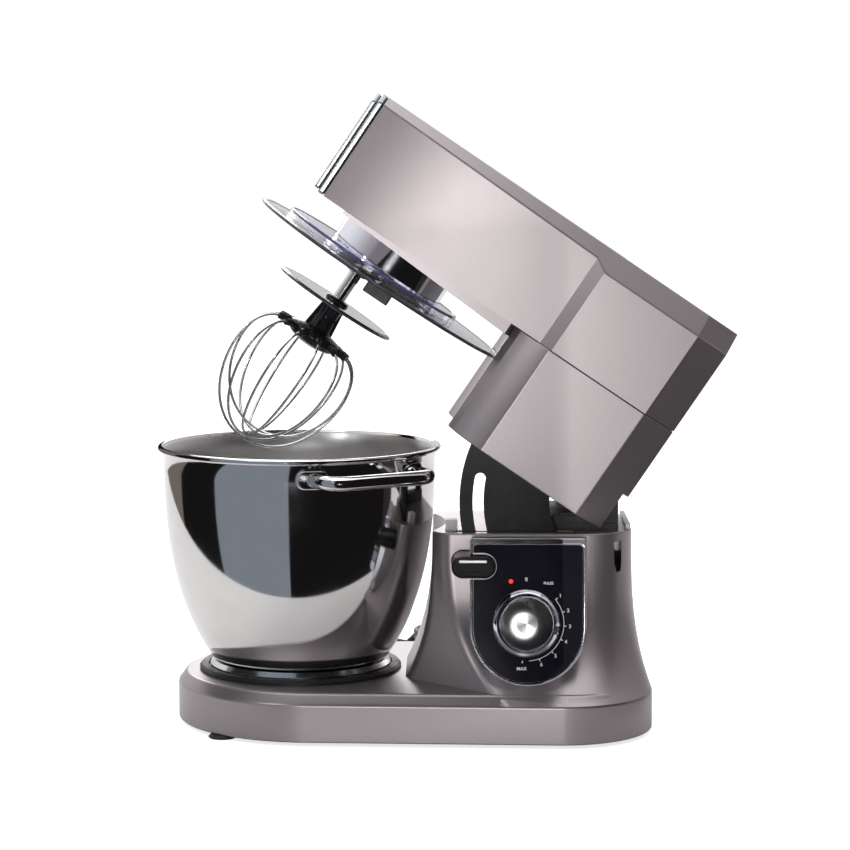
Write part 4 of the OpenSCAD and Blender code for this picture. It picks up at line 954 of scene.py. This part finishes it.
def reflected_only(name, points, faces, colour, strength):
    card = add_mesh(name, points, faces)
    material, _, _, bsdf = shader(name, (0, 0, 0), Roughness=1.0, Emission_Color=(*colour, 1),
                                  Emission_Strength=strength)
    bsdf.inputs["Specular IOR Level"].default_value = 0
    card.data.materials.append(material)
    card.visible_camera = card.visible_diffuse = card.visible_shadow = card.visible_transmission = False


def add_cards():
    for k, (start, stop, colour, strength) in enumerate(CARDS):
        angles = [math.radians(start + (stop - start) * i / 12) for i in range(13)]
        rise = [CARD_LOW + 125 * (1 - math.cos(a)) for a in angles]
        points = [(CARD_RADIUS * math.sin(a), -CARD_RADIUS * math.cos(a), z)
                  for heights in (rise, [CARD_HIGH] * 13) for a, z in zip(angles, heights)]
        reflected_only("studio_card_%d" % k, points, [(i, i + 1, i + 14, i + 13) for i in range(12)],
                       colour, strength)
    for k, corners in enumerate(FLAGS):
        reflected_only("studio_flag_%d" % k, corners, [(0, 1, 2, 3)], (0.03, 0.025, 0.025), 1.0)


def add_area(name, place, target, size, power, colour=(1, 1, 1)):
    data = bpy.data.lights.new(name, "AREA")
    data.shape = "RECTANGLE"
    data.size, data.size_y = size
    data.energy = power
    data.color = colour
    lamp = bpy.data.objects.new(name, data)
    bpy.context.scene.collection.objects.link(lamp)
    lamp.location = place
    lamp.rotation_euler = (Vector(target) - Vector(place)).to_track_quat("-Z", "Y").to_euler()
    lamp.visible_camera = False
    return lamp


def add_world():
    """White to the camera; to everything else brighter from above and from the left than from the right."""
    world = bpy.data.worlds.new("studio")
    bpy.context.scene.world = world
    world.use_nodes = True
    nodes_, links = world.node_tree.nodes, world.node_tree.links
    background = nodes_["Background"]
    coords = nodes_.new("ShaderNodeTexCoord")
    along = nodes_.new("ShaderNodeVectorMath")
    along.operation = "DOT_PRODUCT"
    along.inputs[1].default_value = Vector((-0.25, 0.45, 0.75))
    links.new(coords.outputs["Generated"], along.inputs[0])
    ramp = nodes_.new("ShaderNodeValToRGB")
    ramp.color_ramp.elements[0].position = 0.0
    ramp.color_ramp.elements[0].color = (0.22, 0.20, 0.21, 1)
    ramp.color_ramp.elements[1].position = 0.8
    ramp.color_ramp.elements[1].color = (1.0, 0.99, 1.0, 1)
    middle = ramp.color_ramp.elements.new(0.3)
    middle.color = (0.45, 0.43, 0.45, 1)
    links.new(along.outputs["Value"], ramp.inputs["Fac"])
    rays = nodes_.new("ShaderNodeLightPath")
    mix = nodes_.new("ShaderNodeMix")
    mix.data_type = "RGBA"
    links.new(rays.outputs["Is Camera Ray"], mix.inputs["Factor"])
    links.new(ramp.outputs["Color"], mix.inputs[6])
    mix.inputs[7].default_value = (1, 1, 1, 1)
    links.new(mix.outputs[2], background.inputs["Color"])


add_floor()
add_cards()
add_world()
add_area("front", (-0.10, -2.6, 0.22), (0.05, 0, 0.3), (0.42, 0.5), 13)
add_area("streak", (-1.3, -1.7, 1.6), (0.15, -0.1, 0.1), (0.25, 0.25), 5)
add_area("top", (0.1, -0.1, 2.1), (0.1, 0, 0.2), (2.4, 2.0), 18)
add_area("back", (-0.3, 1.9, 1.3), (0.1, 0, 0.3), (1.2, 1.2), 18)
bpy.context.scene.view_settings.view_transform = "Standard"
